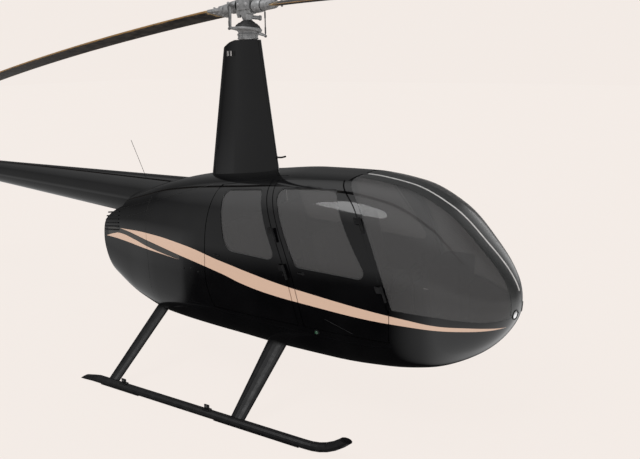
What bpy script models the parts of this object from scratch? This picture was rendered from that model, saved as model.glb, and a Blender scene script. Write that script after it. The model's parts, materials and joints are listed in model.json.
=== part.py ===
"""Light four-seat helicopter with a two-bladed main rotor, parked on its skids.

Metres, +X towards the nose, +Y to the pilot's left, +Z up, ground at Z = 0. Sizes along X are
measured from the main rotor's axis, and an empty called datum moves that axis to MAST_X, so that
the middle of the whole machine's length is at X = 0. Run with blender --background --python.
"""
import math

import bmesh
import bpy
import numpy as np
from mathutils import Matrix, Vector

RIGHT = -1
LEFT = 1
SIDES = {"right": RIGHT, "left": LEFT}

# Clearances
SEAT_GAP = 0.0003
DOOR_GAP = 0.007
EDGE_SLANT_AFT = 0.55
EDGE_SLANT_LOW = 0.40

# Body lines: distance ahead of the mast, half width, top, bottom and widest level
NOSE_X = 2.405
NOSE_Z = 0.970
AFT_X = -1.50
STATIONS = (
    (2.15, 0.431, 1.408, 0.586, 0.961),
    (1.85, 0.570, 1.675, 0.458, 0.978),
    (1.50, 0.632, 1.825, 0.405, 0.988),
    (1.10, 0.652, 1.870, 0.379, 1.005),
    (0.60, 0.660, 1.861, 0.382, 1.022),
    (0.10, 0.653, 1.811, 0.401, 1.042),
    (-0.30, 0.628, 1.766, 0.409, 1.060),
    (-0.70, 0.574, 1.700, 0.418, 1.095),
    (-1.10, 0.490, 1.587, 0.492, 1.150),
    (-1.45, 0.430, 1.451, 0.672, 1.214),
    (-1.62, 0.405, 1.380, 0.810, 1.235),
)
NOSE_ROUND = 2.5
UPPER_ROUND = 3.5
LOWER_ROUND = 3.3
SKIN = 0.035
RING_POINTS = 32
NOSE_RINGS = 9
BODY_RINGS = 14

# Roof panel edge in plan: distance from the centre line at the mast, and its narrowing forward
ROOF_EDGE = 0.400
ROOF_TAPER = 0.110
WINDSHIELD_TOP_X = 1.10
BODY_SPLIT_X = -0.80
NOSE_SPLIT_X = 1.612
SILL_Z = 0.740

# Side view lines of the posts, the doors' aft edge, the body's aft edge and the windshield's sill, as (x, z)
POST_FRONT = ((1.640, 0.970), (1.536, 1.261), (1.436, 1.504), (1.299, 1.730), (1.060, 1.905))
POST_MIDDLE = ((0.88, 0.735), (0.873, 0.769), (0.831, 0.943), (0.75, 1.23), (0.50, 1.80), (0.44, 1.93))
DOOR_AFT = ((0.02, 0.735), (-0.03, 0.86), (-0.06, 1.015), (-0.05, 1.30), (-0.01, 1.80), (0.005, 1.93))
AFT_EDGE = ((-1.375, 0.300), (-1.375, 0.600), (-1.405, 0.700), (-1.437, 0.790), (-1.461, 0.930),
            (-1.477, 1.090), (-1.468, 1.181), (-1.452, 1.246), (-1.424, 1.300), (-1.371, 1.353),
            (-1.306, 1.398), (-1.200, 1.450), (-1.150, 1.620), (-1.150, 2.300))
WINDSHIELD_SILL = ((1.560, 1.004), (1.954, 0.977), (2.231, 0.936), (2.349, 0.925), (2.600, 0.925))
POST_FRONT_WIDTH = 0.029
POST_MIDDLE_HALF = 0.022
CENTRE_POST_HALF = 0.040
POST_DEPTH = 0.030

# Windows, as corners (x, z) and corner radius
WINDOW_FRONT = (((0.573, 1.786), 0.04), ((1.086, 1.812), 0.04), ((1.454, 1.197), 0.05),
                ((0.838, 1.218), 0.06))
WINDOW_REAR = (((0.059, 1.730), 0.05), ((0.434, 1.766), 0.04), ((0.663, 1.241), 0.05), ((0.165, 1.262), 0.11))
GLASS_INSET = 0.006
GLASS_THICK = 0.005
WINDSHIELD_THICK = 0.007

# Door hinges: heights of the lower and upper knuckles, and where their axis lies
FRONT_HINGE_Z = (1.077, 1.648)
REAR_HINGE_Z = (1.130, 1.500)
HINGE_STAND_OFF = 0.024
HINGE_RADIUS = 0.010
HINGE_LENGTH = 0.060
HANDLE = (0.110, 0.018, 0.028)

# Hinge straps, as (distance ahead of the axis, distance out from the axis or from the skin)
FIXED_STRAP = ((0.0, 0.004), (0.0, -0.004), (-0.002, -0.016), (-0.012, -0.016), (-0.010, 0.010))
DOOR_STRAP = ((0.0, 0.004), (-0.048, 0.023), (-0.058, -0.016), (-0.044, -0.016), (-0.034, 0.015),
              (0.0, -0.004))

# Cabin inside
FLOOR_Z = 0.620
FLOOR_THICK = 0.020
FLOOR_X = (-0.085, 2.120)
FIREWALL_X = (-0.115, -0.0853)
SEAT_SHIFT = 0.80
SEAT_Y = (0.045, 0.525)
SEAT_BOX = ((1.42, 0.0), (1.42, 0.26), (1.03, 0.22), (0.87, 0.80), (0.83, 0.80), (0.93, 0.18), (0.93, 0.0))
SEAT_PAD = ((1.44, 0.2626), (1.44, 0.35), (1.13, 0.315), (0.985, 0.875), (0.90, 0.875), (0.8705, 0.8002),
            (1.0304, 0.2206))
SEAT_BOX_HALF = 0.56
PEDESTAL = ((1.70, 0.0), (2.02, 0.0), (1.96, 0.46), (1.78, 0.46))
PEDESTAL_HALF = 0.11
DIAL_HOOD = ((1.74, 0.42), (1.98, 0.42), (1.99, 0.60), (1.93, 0.66), (1.71, 0.60))
DIAL_HOOD_HALF = 0.21
STICK_X = (1.56, 1.54, 1.50)
STICK_Z = (1.02, 1.10)
GRIP_Y = 0.33
GRIP_Z = (1.02, 1.17)
PEDAL_X = 1.86
PEDAL_Y = (0.18, 0.34)
PEDAL_Z = (0.70, 0.80, 0.88)

# Engine bay
ENGINE = ((-0.94, -0.32, 0.50), (-0.20, 0.32, 0.98))
SILENCER = (-0.62, 0.40, 0.56, 0.085)
FAN = {"z": 0.98, "front": -1.10, "aft": -1.33, "radius": 0.235, "shaft": 0.070}
GRILLE_X = (-1.372, -1.352)
GRILLE_TOP_Z = 1.225
SLOT_Z = (0.80, 0.875, 0.950, 1.025, 1.100)
SLOT_HALF = (0.235, 0.285, 0.31, 0.32, 0.32)
SLOT_HEIGHT = 0.050
BULKHEAD_X = (-1.170, -1.155)
SHELF_Z = (1.2253, 1.240)

# Landing gear
TRACK = 2.18
SKID_RADIUS = 0.035
SKID_Z = 0.037
SKID_TAPER_X = -0.955
SKID_BEND_X = 1.170
SKID_TIP = (1.600, 0.263)
SKID_CURVE = 2.3
SKID_CUT = ((1.42, 0.1815), (1.42, 0.40), (1.70, 0.40), (1.70, 0.1432))
SHOE_HALF = 0.018
SHOE_TOP_Z = 0.016
SHOES_X = ((-0.925, -0.480), (0.330, 1.120))

# Aft end of a skid, pinched flat: (x, z, half width, half height)
SKID_END = ((-1.151, 0.017, 0.041, 0.006), (-1.110, 0.022, 0.041, 0.014), (-1.035, 0.030, 0.038, 0.026))

# Legs: middle and chord at the foot, then at the body, with the thickness and the upper end
FRONT_LEG = {"foot": (0.539, 0.128), "top": (0.5685, 0.187), "thick": 0.046, "top_y": 0.541, "top_z": 0.483}
REAR_LEG = {"foot": (-0.8025, 0.115), "top": (-0.7825, 0.143), "thick": 0.040, "top_y": 0.441, "top_z": 0.504}
LEG_SIDES = 14
LEG_REACH = 1.35

# Mast fairing
FAIRING_BASE = {"z": 1.64, "front": 0.302, "aft": -0.466, "half": 0.125}
FAIRING_TOP = {"z": 2.925, "front": 0.124, "aft": -0.246, "half": 0.088}
FAIRING_SLOPE = ((-0.09, 2.925), (-0.16, 2.907), (-0.30, 2.845), (-0.30, 3.025), (-0.09, 3.025))
AIR_TUBE = ((0.20, 0.0, 1.943), (0.300, 0.0, 1.946), (0.351, 0.0, 1.958))
AIR_TUBE_RADIUS = 0.009

# Main rotor
ROTOR_RADIUS = 5.03
BLADE_CHORD = 0.257
BLADE_THICK = 0.030
BLADE_AZIMUTH = math.radians(171.5)
BLADE_ROOT_Z = 3.209
BLADE_SLOPES = (0.102, 0.010)
BLADE_SAG = 0.0089
BLADE_PITCH = math.radians(8.4)
BLADE_TWIST = math.radians(-0.54)
BLADE_START = 0.42
HUB_BLOCK = (0.150, 0.115, 0.095)
HUB_NECK = ((0.036, 3.0825), (0.036, 3.10), (0.062, 3.13), (0.055, 3.18))
HUB_CAP = ((0.050, -0.010), (0.050, 0.008), (0.030, 0.020))
HUB_BALL = ((-0.005, -0.125, 3.105), (-0.005, 0.02, 3.105))
HUB_BALL_RADIUS = 0.022
TEETER = (BLADE_SLOPES[0] - BLADE_SLOPES[1]) / 2
HORN_START = (0.13, 0.03)
HORN_RADII = (0.020, 0.012)

# Cuff between grip and blade: its places, half width and half depth at its start, half depth at its end
CUFF_PLACES = (0.25, 0.36, 0.4197)
CUFF_HALF = 0.045
CUFF_DEPTH = (0.022, 0.016)

# Grip of a blade from the hub outwards: (start, end, radius, far radius, sides)
GRIP = ((0.060, 0.130, 0.040, 0.040, 14), (0.085, 0.175, 0.054, 0.050, 16), (0.170, 0.330, 0.045, 0.034, 14))

# Swashplate and pitch links, the near link first, with profiles as (radius, z)
HOUSING = ((0.062, 0.0), (0.085, 0.008), (0.085, 0.0447), (0.070, 0.0547))
PLATE = ((0.120, -0.012), (0.128, -0.004), (0.128, 0.006), (0.118, 0.012))
BOOT = ((0.114, 3.004), (0.108, 3.030), (0.080, 3.066), (0.045, 3.082))
SLEEVE_RADIUS = 0.040
PLATE_Z = 3.012
PLATE_TILT = math.radians(6.0)
LINK_RADIUS = 0.190
LINK_AZIMUTH = math.radians(79.2)
LINK_FEET_Z = (3.018, 2.967)
LINK_HEADS_Z = (3.194, 3.179)
LINK_DROP = 0.018
ARM_RADII = (0.014, 0.011)
LINK_THICK = 0.0065

# Tail
BOOM_START_X = -0.72
BOOM_END_X = -5.70
BOOM_WALL = 0.015
BOOM_LINE = (1.475, -1.5, -0.029)
BOOM_RADII = ((-0.72, 0.235), (-1.50, 0.203), (-2.50, 0.163), (-3.60, 0.120), (-4.60, 0.088), (-5.70, 0.070))
TAIL_ROTOR_X = -5.890
TAIL_ROTOR_Y = 0.235
GUARD_END_X = -6.700
GUARD_RADIUS = 0.012

# Tail pieces, with heights above the boom's centre line at the tail rotor
GEARBOX = ((0.0, 0.066), (-0.09, 0.062), (-0.2297, 0.062), (-0.2597, 0.048))
OUTPUT_Y = (-0.075, 0.12)
OUTPUT_RADII = (0.055, 0.035)
FIN_Y = -0.102
FIN_THICK = 0.050
UPPER_FIN = ((-5.52, -5.86, 0.060), (-5.90, -6.18, 0.780))
LOWER_FIN = ((-5.60, -5.92, -0.060), (-5.86, -6.12, -0.700))
FIN_PLATE = ((-5.93, -0.128, -0.10), (-5.64, -0.0753, 0.10))
TAIL_SHOE = ((-5.98, -0.68), (-6.02, -0.76), (-6.16, -0.79))
STABILISER = ((-5.62, -5.96, 0.0), (-5.66, -5.94, 0.82))
STABILISER_THICK = 0.040
STABILISER_Z = 0.035
GUARD_PATH = ((-5.02, 0.05, 0.0), (-5.06, 0.24, -0.035), (-5.13, 0.33, -0.030), (-5.30, 0.375, -0.040),
              (-6.40, 0.375, -0.050), (-6.60, 0.33, -0.050), (-6.688, 0.21, -0.050), (-6.66, 0.09, -0.050),
              (-6.50, 0.01, -0.050), (-5.97, 0.0, -0.020))

# Tail rotor: its hub, and its blades as (radius, chord, thickness)
TAIL_HUB = 0.045
TAIL_SHAFT_RADIUS = 0.022
TAIL_LEAN = math.radians(25)
TAIL_BLADE = ((0.03, 0.05, 0.026), (0.14, 0.05, 0.026), (0.20, 0.130, 0.018), (0.7365, 0.130, 0.018))

# The foremost point is the front blade's leading corner, and the hindmost is the tail guard
TIP_PITCH = BLADE_PITCH + BLADE_TWIST * ROTOR_RADIUS
TIP_LEAD = 0.25 * BLADE_CHORD * math.cos(TIP_PITCH) + 0.035 * BLADE_THICK * math.sin(TIP_PITCH)
BLADE_TIP_X = ROTOR_RADIUS * math.cos(math.pi - BLADE_AZIMUTH) + TIP_LEAD * math.sin(math.pi - BLADE_AZIMUTH)
MAST_X = -(BLADE_TIP_X + GUARD_END_X - GUARD_RADIUS) / 2


def clear_scene():
    """Remove whatever the file holds."""
    for old in list(bpy.data.objects):
        bpy.data.objects.remove(old, do_unlink=True)


def paint(name, color, roughness, metallic=0.0, alpha=1.0):
    """A plain Principled material."""
    made = bpy.data.materials.new(name)
    made.use_nodes = True
    shader = made.node_tree.nodes["Principled BSDF"]
    shader.inputs["Base Color"].default_value = (*color, 1.0)
    shader.inputs["Roughness"].default_value = roughness
    shader.inputs["Metallic"].default_value = metallic
    shader.inputs["Alpha"].default_value = alpha
    return made


# Curves and outlines

def steady_curve(xs, ys, x):
    """Smooth curve through the points that never overshoots them (monotone cubic)."""
    xs = np.asarray(xs, float)
    ys = np.asarray(ys, float)
    step = np.diff(xs)
    slope = np.diff(ys) / step
    tangent = np.zeros(len(xs))
    for i in range(1, len(xs) - 1):
        if slope[i - 1] * slope[i] > 0:
            before = 2 * step[i] + step[i - 1]
            after = step[i] + 2 * step[i - 1]
            tangent[i] = (before + after) / (before / slope[i - 1] + after / slope[i])
    tangent[0] = slope[0]
    tangent[-1] = slope[-1]
    k = int(np.clip(np.searchsorted(xs, x) - 1, 0, len(xs) - 2))
    t = (x - xs[k]) / step[k]
    start = (1 + 2 * t) * (1 - t) ** 2 * ys[k] + t * (1 - t) ** 2 * step[k] * tangent[k]
    end = t * t * (3 - 2 * t) * ys[k + 1] + t * t * (t - 1) * step[k] * tangent[k + 1]
    return float(start + end)


def smooth_line(points, count):
    """Evenly spaced points on a smooth curve through 2-D points, by length along them."""
    flat = np.array(points, float)
    reach = np.concatenate([[0], np.cumsum(np.linalg.norm(np.diff(flat, axis=0), axis=1))])
    made = []
    for u in np.linspace(0, reach[-1], count):
        made.append((steady_curve(reach, flat[:, 0], u), steady_curve(reach, flat[:, 1], u)))
    return made


def shift_line(points, distance):
    """Move a line sideways, to the right of its direction."""
    flat = np.array(points, float)
    along = np.gradient(flat, axis=0)
    along /= np.linalg.norm(along, axis=1)[:, None]
    aside = np.stack([along[:, 1], -along[:, 0]], -1)
    return [tuple(p) for p in flat + aside * distance]


def above(line, z):
    """The part of a rising line above a height, starting at that height."""
    x = float(np.interp(z, [p[1] for p in line], [p[0] for p in line]))
    return [(x, z)] + [p for p in line if p[1] > z + 0.001]


def rounded(corners, grow=0.0, steps=4):
    """Outline with round corners. Corners are ((x, z), radius), and grow moves the outline outwards."""
    count = len(corners)
    made = []
    for i, (corner, radius) in enumerate(corners):
        corner = np.array(corner)
        before = np.array(corners[i - 1][0]) - corner
        after = np.array(corners[(i + 1) % count][0]) - corner
        before /= np.linalg.norm(before)
        after /= np.linalg.norm(after)
        half = math.acos(float(np.clip(before @ after, -1, 1))) / 2
        inward = before + after
        inward /= np.linalg.norm(inward)
        centre = corner + inward * radius / math.sin(half)
        start = centre - corner - before * ((centre - corner) @ before)
        end = centre - corner - after * ((centre - corner) @ after)
        for k in range(steps + 1):
            way = (1 - k / steps) * -start + k / steps * -end
            way /= np.linalg.norm(way)
            made.append(tuple(centre + way * (radius + grow)))
    return made


# Mesh building

def new_object(name, mesh, material=None):
    """Link a mesh as an object on the datum."""
    made = bpy.data.objects.new(name, mesh)
    bpy.context.scene.collection.objects.link(made)
    made.parent = DATUM
    if material:
        mesh.materials.append(material)
    return made


def mesh_from(name, points, faces):
    """Closed mesh from points and faces, with its faces turned outwards."""
    mesh = bpy.data.meshes.new(name)
    mesh.from_pydata([tuple(p) for p in points], [], faces)
    work = bmesh.new()
    work.from_mesh(mesh)
    bmesh.ops.recalc_face_normals(work, faces=work.faces)
    if work.calc_volume(signed=True) < 0:
        bmesh.ops.reverse_faces(work, faces=work.faces)
    work.to_mesh(mesh)
    work.free()
    return mesh


def solid(name, points, faces, material):
    """A named solid with smooth round faces."""
    made = new_object(name, mesh_from(name, points, faces), material)
    smooth(made)
    return made


def smooth(obj):
    """Round pieces are shaded smooth, and real corners stay sharp."""
    obj.data.shade_smooth()
    obj.data.set_sharp_from_angle(angle=math.radians(35))


def guide(name, points, faces):
    """A cutter, which the build leaves out."""
    made = new_object(name, mesh_from(name, points, faces))
    made.hide_render = True
    made.display_type = "WIRE"
    return made


def loft(rings):
    """Points and faces of a solid through equal closed rings, with flat ends."""
    points = [p for ring in rings for p in ring]
    count = len(rings[0])
    faces = []
    for r in range(len(rings) - 1):
        for i in range(count):
            j = (i + 1) % count
            faces.append((r * count + i, r * count + j, (r + 1) * count + j, (r + 1) * count + i))
    faces.append(tuple(range(count)))
    last = (len(rings) - 1) * count
    faces.append(tuple(range(last, last + count)))
    return points, faces


def prism_y(outline, y_at, y_far):
    """Side view outline (x, z) drawn across: y_at gives the near face's Y for a given X."""
    near = [(x, y_at(x), z) for x, z in outline]
    far = [(x, y_far, z) for x, z in outline]
    return loft([near, far])


def slab(low, high):
    """Points and faces of a box between two corners."""
    ring = ((low[0], low[1]), (high[0], low[1]), (high[0], high[1]), (low[0], high[1]))
    return loft([[(x, y, low[2]) for x, y in ring], [(x, y, high[2]) for x, y in ring]])


def rod(start, end, radius, sides=12, end_radius=None):
    """Round bar or cone between two points."""
    start = Vector(start)
    end = Vector(end)
    turn = (end - start).to_track_quat("Z", "Y")
    rings = []
    for centre, r in ((start, radius), (end, radius if end_radius is None else end_radius)):
        ring = []
        for i in range(sides):
            a = 2 * math.pi * i / sides
            ring.append(centre + turn @ Vector((r * math.cos(a), r * math.sin(a), 0)))
        rings.append(ring)
    return loft(rings)


def bent_tube(path, radius, sides=10):
    """Round tube along a path, with flat ends square to it."""
    path = [Vector(p) for p in path]
    rings = []
    frame = None
    for i, centre in enumerate(path):
        along = (path[min(i + 1, len(path) - 1)] - path[max(i - 1, 0)]).normalized()
        if frame is None:
            frame = along.to_track_quat("Z", "Y")
        else:
            frame = (frame @ Vector((0, 0, 1))).rotation_difference(along) @ frame
        ring = []
        for k in range(sides):
            a = 2 * math.pi * k / sides
            ring.append(centre + frame @ Vector((radius * math.cos(a), radius * math.sin(a), 0)))
        rings.append(ring)
    return loft(rings)


def turned(profile, sides=24, centre=(0, 0)):
    """Solid of revolution about a vertical axis from (radius, z) pairs, bottom to top."""
    rings = []
    for radius, z in profile:
        ring = []
        for i in range(sides):
            a = 2 * math.pi * i / sides
            ring.append((centre[0] + radius * math.cos(a), centre[1] + radius * math.sin(a), z))
        rings.append(ring)
    return loft(rings)


def tube_x(stations, sides):
    """Solid through upright circles, given as (x, z, radius)."""
    rings = []
    for x, z, radius in stations:
        ring = []
        for i in range(sides):
            a = 2 * math.pi * i / sides
            ring.append((x, radius * math.cos(a), z + radius * math.sin(a)))
        rings.append(ring)
    return loft(rings)


def moved(shape, matrix):
    """The same points and faces under a transform."""
    points, faces = shape
    return [matrix @ Vector(p) for p in points], faces


def cut(obj, tool, operation="DIFFERENCE"):
    """Exact Boolean, kept on the object."""
    step = obj.modifiers.new(operation.title(), "BOOLEAN")
    step.operation = operation
    step.solver = "EXACT"
    step.object = tool
    return obj


def fused(name, shapes, material):
    """One solid from shapes that overlap."""
    made = solid(name, *shapes[0], material)
    for number, shape in enumerate(shapes[1:], 1):
        cut(made, guide(f"{name}.add{number}", *shape), "UNION")
    return made


def carry(obj, point, parent=None):
    """Put an object's origin on a point of its joint's axis."""
    obj.data.transform(Matrix.Translation(-Vector(point)))
    obj.location = Vector(point)
    if parent:
        obj.parent = parent


# Body surface

def body_lines(s):
    """Half width, top, bottom and widest level at s, where x = NOSE_X - 0.6 s squared."""
    marks = [0.0] + [math.sqrt((NOSE_X - row[0]) / 0.6) for row in STATIONS]
    values = []
    for column, nose in ((1, 0.0), (2, NOSE_Z), (3, NOSE_Z), (4, NOSE_Z)):
        values.append(steady_curve(marks, [nose] + [row[column] for row in STATIONS], s))
    return values


def body_point(s, angle):
    """Point of the outer surface."""
    half, top, bottom, level = body_lines(s)
    blend = min(s / 1.2, 1.0)
    blend = blend * blend * (3 - 2 * blend)
    upper = math.sin(angle) >= 0
    full = UPPER_ROUND if upper else LOWER_ROUND
    power = NOSE_ROUND + (full - NOSE_ROUND) * blend
    c = math.cos(angle)
    t = math.sin(angle)
    reach = (abs(c) ** power + abs(t) ** power) ** (-1 / power)
    height = top - level if upper else level - bottom
    return Vector((NOSE_X - 0.6 * s * s, half * reach * c, level + height * reach * t))


def body_normal(s, angle):
    """Outward normal of the surface."""
    small = 0.004
    along = body_point(s + small, angle) - body_point(s - small, angle)
    around = body_point(s, angle + small) - body_point(s, angle - small)
    return along.cross(around).normalized()


def body_marks(aft_x):
    """Values of s at the rings, close together at the nose."""
    shoulder = math.sqrt((NOSE_X - 1.45) / 0.6)
    nose = [shoulder * (k + 1) / NOSE_RINGS for k in range(NOSE_RINGS)]
    rest = [1.45 + (aft_x - 1.45) * (k + 1) / BODY_RINGS for k in range(BODY_RINGS)]
    return nose + [math.sqrt((NOSE_X - x) / 0.6) for x in rest]


def body_shape(inset, aft_x=AFT_X):
    """The body as a solid, moved inwards by inset."""
    points = [Vector((NOSE_X - inset, 0, NOSE_Z))]
    faces = []
    marks = body_marks(aft_x)
    for s in marks:
        for k in range(RING_POINTS):
            angle = 2 * math.pi * k / RING_POINTS
            points.append(body_point(s, angle) - body_normal(s, angle) * inset)
    for k in range(RING_POINTS):
        faces.append((0, 1 + k, 1 + (k + 1) % RING_POINTS))
    for r in range(len(marks) - 1):
        here = 1 + r * RING_POINTS
        there = here + RING_POINTS
        for k in range(RING_POINTS):
            n = (k + 1) % RING_POINTS
            faces.append((here + k, there + k, there + n))
            faces.append((here + k, there + n, here + n))
    last = 1 + (len(marks) - 1) * RING_POINTS
    faces.append(tuple(range(last, last + RING_POINTS)))
    return points, faces


def skin_y(x, z):
    """Half width of the outer surface at a place in side view."""
    s = math.sqrt((NOSE_X - x) / 0.6)
    low = 0.0
    high = math.pi / 2 if z >= body_lines(s)[3] else -math.pi / 2
    for _ in range(40):
        angle = (low + high) / 2
        if abs(body_point(s, angle).z - body_lines(s)[3]) < abs(z - body_lines(s)[3]):
            low = angle
        else:
            high = angle
    return body_point(s, low).y


def body_top(x):
    """Height of the body's top line."""
    return body_lines(math.sqrt((NOSE_X - x) / 0.6))[1]


def roof_edge(x):
    """Half width of the roof panel in plan."""
    return ROOF_EDGE - ROOF_TAPER * x


def boom_z(x):
    """Height of the tail boom's centre line."""
    height, at, slope = BOOM_LINE
    return height + slope * (x - at)


def boom_radius(x):
    """Radius of the tail boom."""
    return steady_curve([-p[0] for p in BOOM_RADII], [p[1] for p in BOOM_RADII], -x)


def boom_shape(grow, start_x, end_x, sides=24, steps=12):
    """Tail boom as a tapered solid."""
    places = [start_x + (end_x - start_x) * k / steps for k in range(steps + 1)]
    return tube_x([(x, boom_z(x), boom_radius(x) + grow) for x in places], sides)


clear_scene()
DATUM = bpy.data.objects.new("datum", None)
bpy.context.scene.collection.objects.link(DATUM)
DATUM.location = (MAST_X, 0, 0)

GLOSS_BLACK = paint("gloss_black", (0.008, 0.008, 0.009), 0.10)
SATIN_BLACK = paint("satin_black", (0.012, 0.012, 0.013), 0.35)
GLASS = paint("tinted_glass", (0.10, 0.10, 0.11), 0.03, alpha=0.35)
ALLOY = paint("alloy", (0.45, 0.46, 0.47), 0.38, 0.9)
BLADE_PAINT = paint("blade_paint", (0.045, 0.040, 0.038), 0.45)
CARPET = paint("carpet", (0.10, 0.10, 0.10), 0.95)
LEATHER = paint("leather", (0.42, 0.38, 0.34), 0.60)
TRIM = paint("trim_plastic", (0.16, 0.16, 0.165), 0.60)
ENGINE_METAL = paint("engine_metal", (0.22, 0.22, 0.22), 0.55, 0.7)

# Guides: the body's outer surface, its inner face, and the surfaces that neighbours stand off from
OUTER = body_shape(0.0)
INNER = guide("body_inner", *body_shape(SKIN, AFT_X - 0.10))
ROOM = guide("body_room", *body_shape(SKIN + 2 * SEAT_GAP, AFT_X - 0.10))
CLEAR = guide("body_clear", *body_shape(-SEAT_GAP))
BOOM_HOLE = guide("boom_hole", *boom_shape(SEAT_GAP, BOOM_START_X + 0.01, -2.4))

FAR = 1.0
LOW_Z = 0.10
HIGH_Z = 2.30
ROOF_LOW_Z = 1.30


def skin_panel(name, region, inner=None):
    """Panel of the body: the outer surface inside a region, hollowed."""
    made = solid(name, *OUTER, GLOSS_BLACK)
    cut(made, guide(f"{name}.region", *region), "INTERSECT")
    cut(made, inner or INNER)
    return made


def side_region(outline, side):
    """Region of one side, from the roof panel's edge outwards."""
    return prism_y(outline, lambda x: side * roof_edge(x), side * FAR)


POST_LINE = smooth_line(POST_FRONT, 9)
MIDDLE_LINE = smooth_line(POST_MIDDLE, 15)
AFT_LINE = smooth_line(DOOR_AFT, 11)


def make_skins():
    """Nose, tub, roof, side skins and aft cowls."""
    nose = [(NOSE_SPLIT_X + SEAT_GAP, LOW_Z)]
    nose += [(NOSE_SPLIT_X + SEAT_GAP, WINDSHIELD_SILL[0][1] - SEAT_GAP)]
    nose += [(x, z - SEAT_GAP) for x, z in WINDSHIELD_SILL[1:]]
    nose += [(WINDSHIELD_SILL[-1][0], LOW_Z)]
    skin_panel("nose_shell", prism_y(nose, lambda x: -FAR, FAR))
    skin_panel("cabin_tub", slab((BODY_SPLIT_X, -FAR, LOW_Z), (NOSE_SPLIT_X, FAR, SILL_Z)))
    roof = [(x, z) for x in (BODY_SPLIT_X, WINDSHIELD_TOP_X) for z in (ROOF_LOW_Z, HIGH_Z)]
    roof = [roof[0], roof[2], roof[3], roof[1]]
    near = [(x, -roof_edge(x) + SEAT_GAP, z) for x, z in roof]
    far = [(x, roof_edge(x) - SEAT_GAP, z) for x, z in roof]
    top = skin_panel("roof_shell", loft([near, far]))
    cut(top, BOOM_HOLE)
    for word, side in SIDES.items():
        outline = [(BODY_SPLIT_X, SILL_Z + SEAT_GAP), (BODY_SPLIT_X, HIGH_Z)]
        edge = above(shift_line(AFT_LINE, -DOOR_GAP), SILL_Z + SEAT_GAP)
        outline += [(edge[-1][0], HIGH_Z)] + edge[::-1]
        skin_panel(f"side_skin_{word}", side_region(outline, side))
        ahead = BODY_SPLIT_X - SEAT_GAP
        outline = list(AFT_EDGE) + [(ahead, AFT_EDGE[-1][1]), (ahead, AFT_EDGE[0][1])]
        cowl = skin_panel(f"aft_cowl_{word}", prism_y(outline, lambda x: side * SEAT_GAP / 2, side * FAR))
        cut(cowl, BOOM_HOLE)


def make_posts():
    """Windshield posts, the posts between the doors and the centre post."""
    for word, side in SIDES.items():
        base = WINDSHIELD_SILL[0][1] + SEAT_GAP
        front = above(shift_line(POST_LINE, -SEAT_GAP), base)
        back = above(shift_line(POST_LINE, -POST_FRONT_WIDTH), base)
        post = skin_panel(f"post_front_{word}", side_region(back + front[::-1], side))
        front = above(shift_line(MIDDLE_LINE, POST_MIDDLE_HALF), SILL_Z + SEAT_GAP)
        back = above(shift_line(MIDDLE_LINE, -POST_MIDDLE_HALF), SILL_Z + SEAT_GAP)
        outline = back + front[::-1]
        middle = skin_panel(f"post_middle_{word}", side_region(outline, side))
        fixed_hinges(post, "front", word, side)
        fixed_hinges(middle, "rear", word, side)
    low = (WINDSHIELD_TOP_X + SEAT_GAP, -CENTRE_POST_HALF, WINDSHIELD_SILL[-1][1] + SEAT_GAP)
    high = (NOSE_X + 0.1, CENTRE_POST_HALF, HIGH_Z)
    inner = guide("post_inner", *body_shape(POST_DEPTH))
    skin_panel("windshield_post", slab(low, high), inner)


def make_windshield():
    """Two panes that wrap round the nose from the centre post to the door posts."""
    inner = guide("windshield_inner", *body_shape(WINDSHIELD_THICK))
    for word, side in SIDES.items():
        outline = above(POST_LINE, WINDSHIELD_SILL[0][1])
        outline = [(max(x, WINDSHIELD_TOP_X + SEAT_GAP), z) for x, z in outline]
        outline += [(WINDSHIELD_TOP_X + SEAT_GAP, HIGH_Z), (WINDSHIELD_SILL[-1][0], HIGH_Z)]
        outline += list(WINDSHIELD_SILL[:0:-1])
        start = side * (CENTRE_POST_HALF + SEAT_GAP)
        region = prism_y(outline, lambda x: start, side * FAR)
        pane = solid(f"windshield_{word}", *OUTER, GLASS)
        cut(pane, guide(f"windshield_{word}.region", *region), "INTERSECT")
        cut(pane, inner)


# Doors and their hinges

def hinge_ends(row, side):
    """Lower and upper points of a door's hinge axis."""
    heights = FRONT_HINGE_Z if row == "front" else REAR_HINGE_Z
    ends = []
    for z in heights:
        if row == "front":
            line = shift_line(POST_LINE, -POST_FRONT_WIDTH * 0.35)
        else:
            line = shift_line(MIDDLE_LINE, -POST_MIDDLE_HALF * 0.3)
        x = steady_curve([p[1] for p in line], [p[0] for p in line], z)
        ends.append(Vector((x, side * (skin_y(x, z) + HINGE_STAND_OFF), z)))
    return ends


def hinge_parts(row, side, fixed):
    """Knuckles on the axis with a strap to the skin, on the post's or the door's half."""
    low, high = hinge_ends(row, side)
    axis = (high - low).normalized()
    shapes = []
    for middle in (low + axis * 0.05, high - axis * 0.05):
        way = -1 if fixed else 1
        near = middle + axis * way * SEAT_GAP
        far = middle + axis * way * HINGE_LENGTH
        shapes.append(rod(near, far, HINGE_RADIUS, 10))
        section = FIXED_STRAP if fixed else DOOR_STRAP
        rings = []
        for point in (near + axis * way * 0.006, far - axis * way * 0.006):
            ring = []
            for x, out in section:
                y = abs(point.y) if x == 0 else skin_y(point.x + x, point.z)
                ring.append((point.x + x, side * (y + out), point.z))
            rings.append(ring)
        shapes.append(loft(rings))
    return shapes


def fixed_hinges(obj, row, word, side):
    """Union the fixed hinge halves onto a post."""
    for number, shape in enumerate(hinge_parts(row, side, True)):
        cut(obj, guide(f"{obj.name}.hinge{number}", *shape), "UNION")


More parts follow.
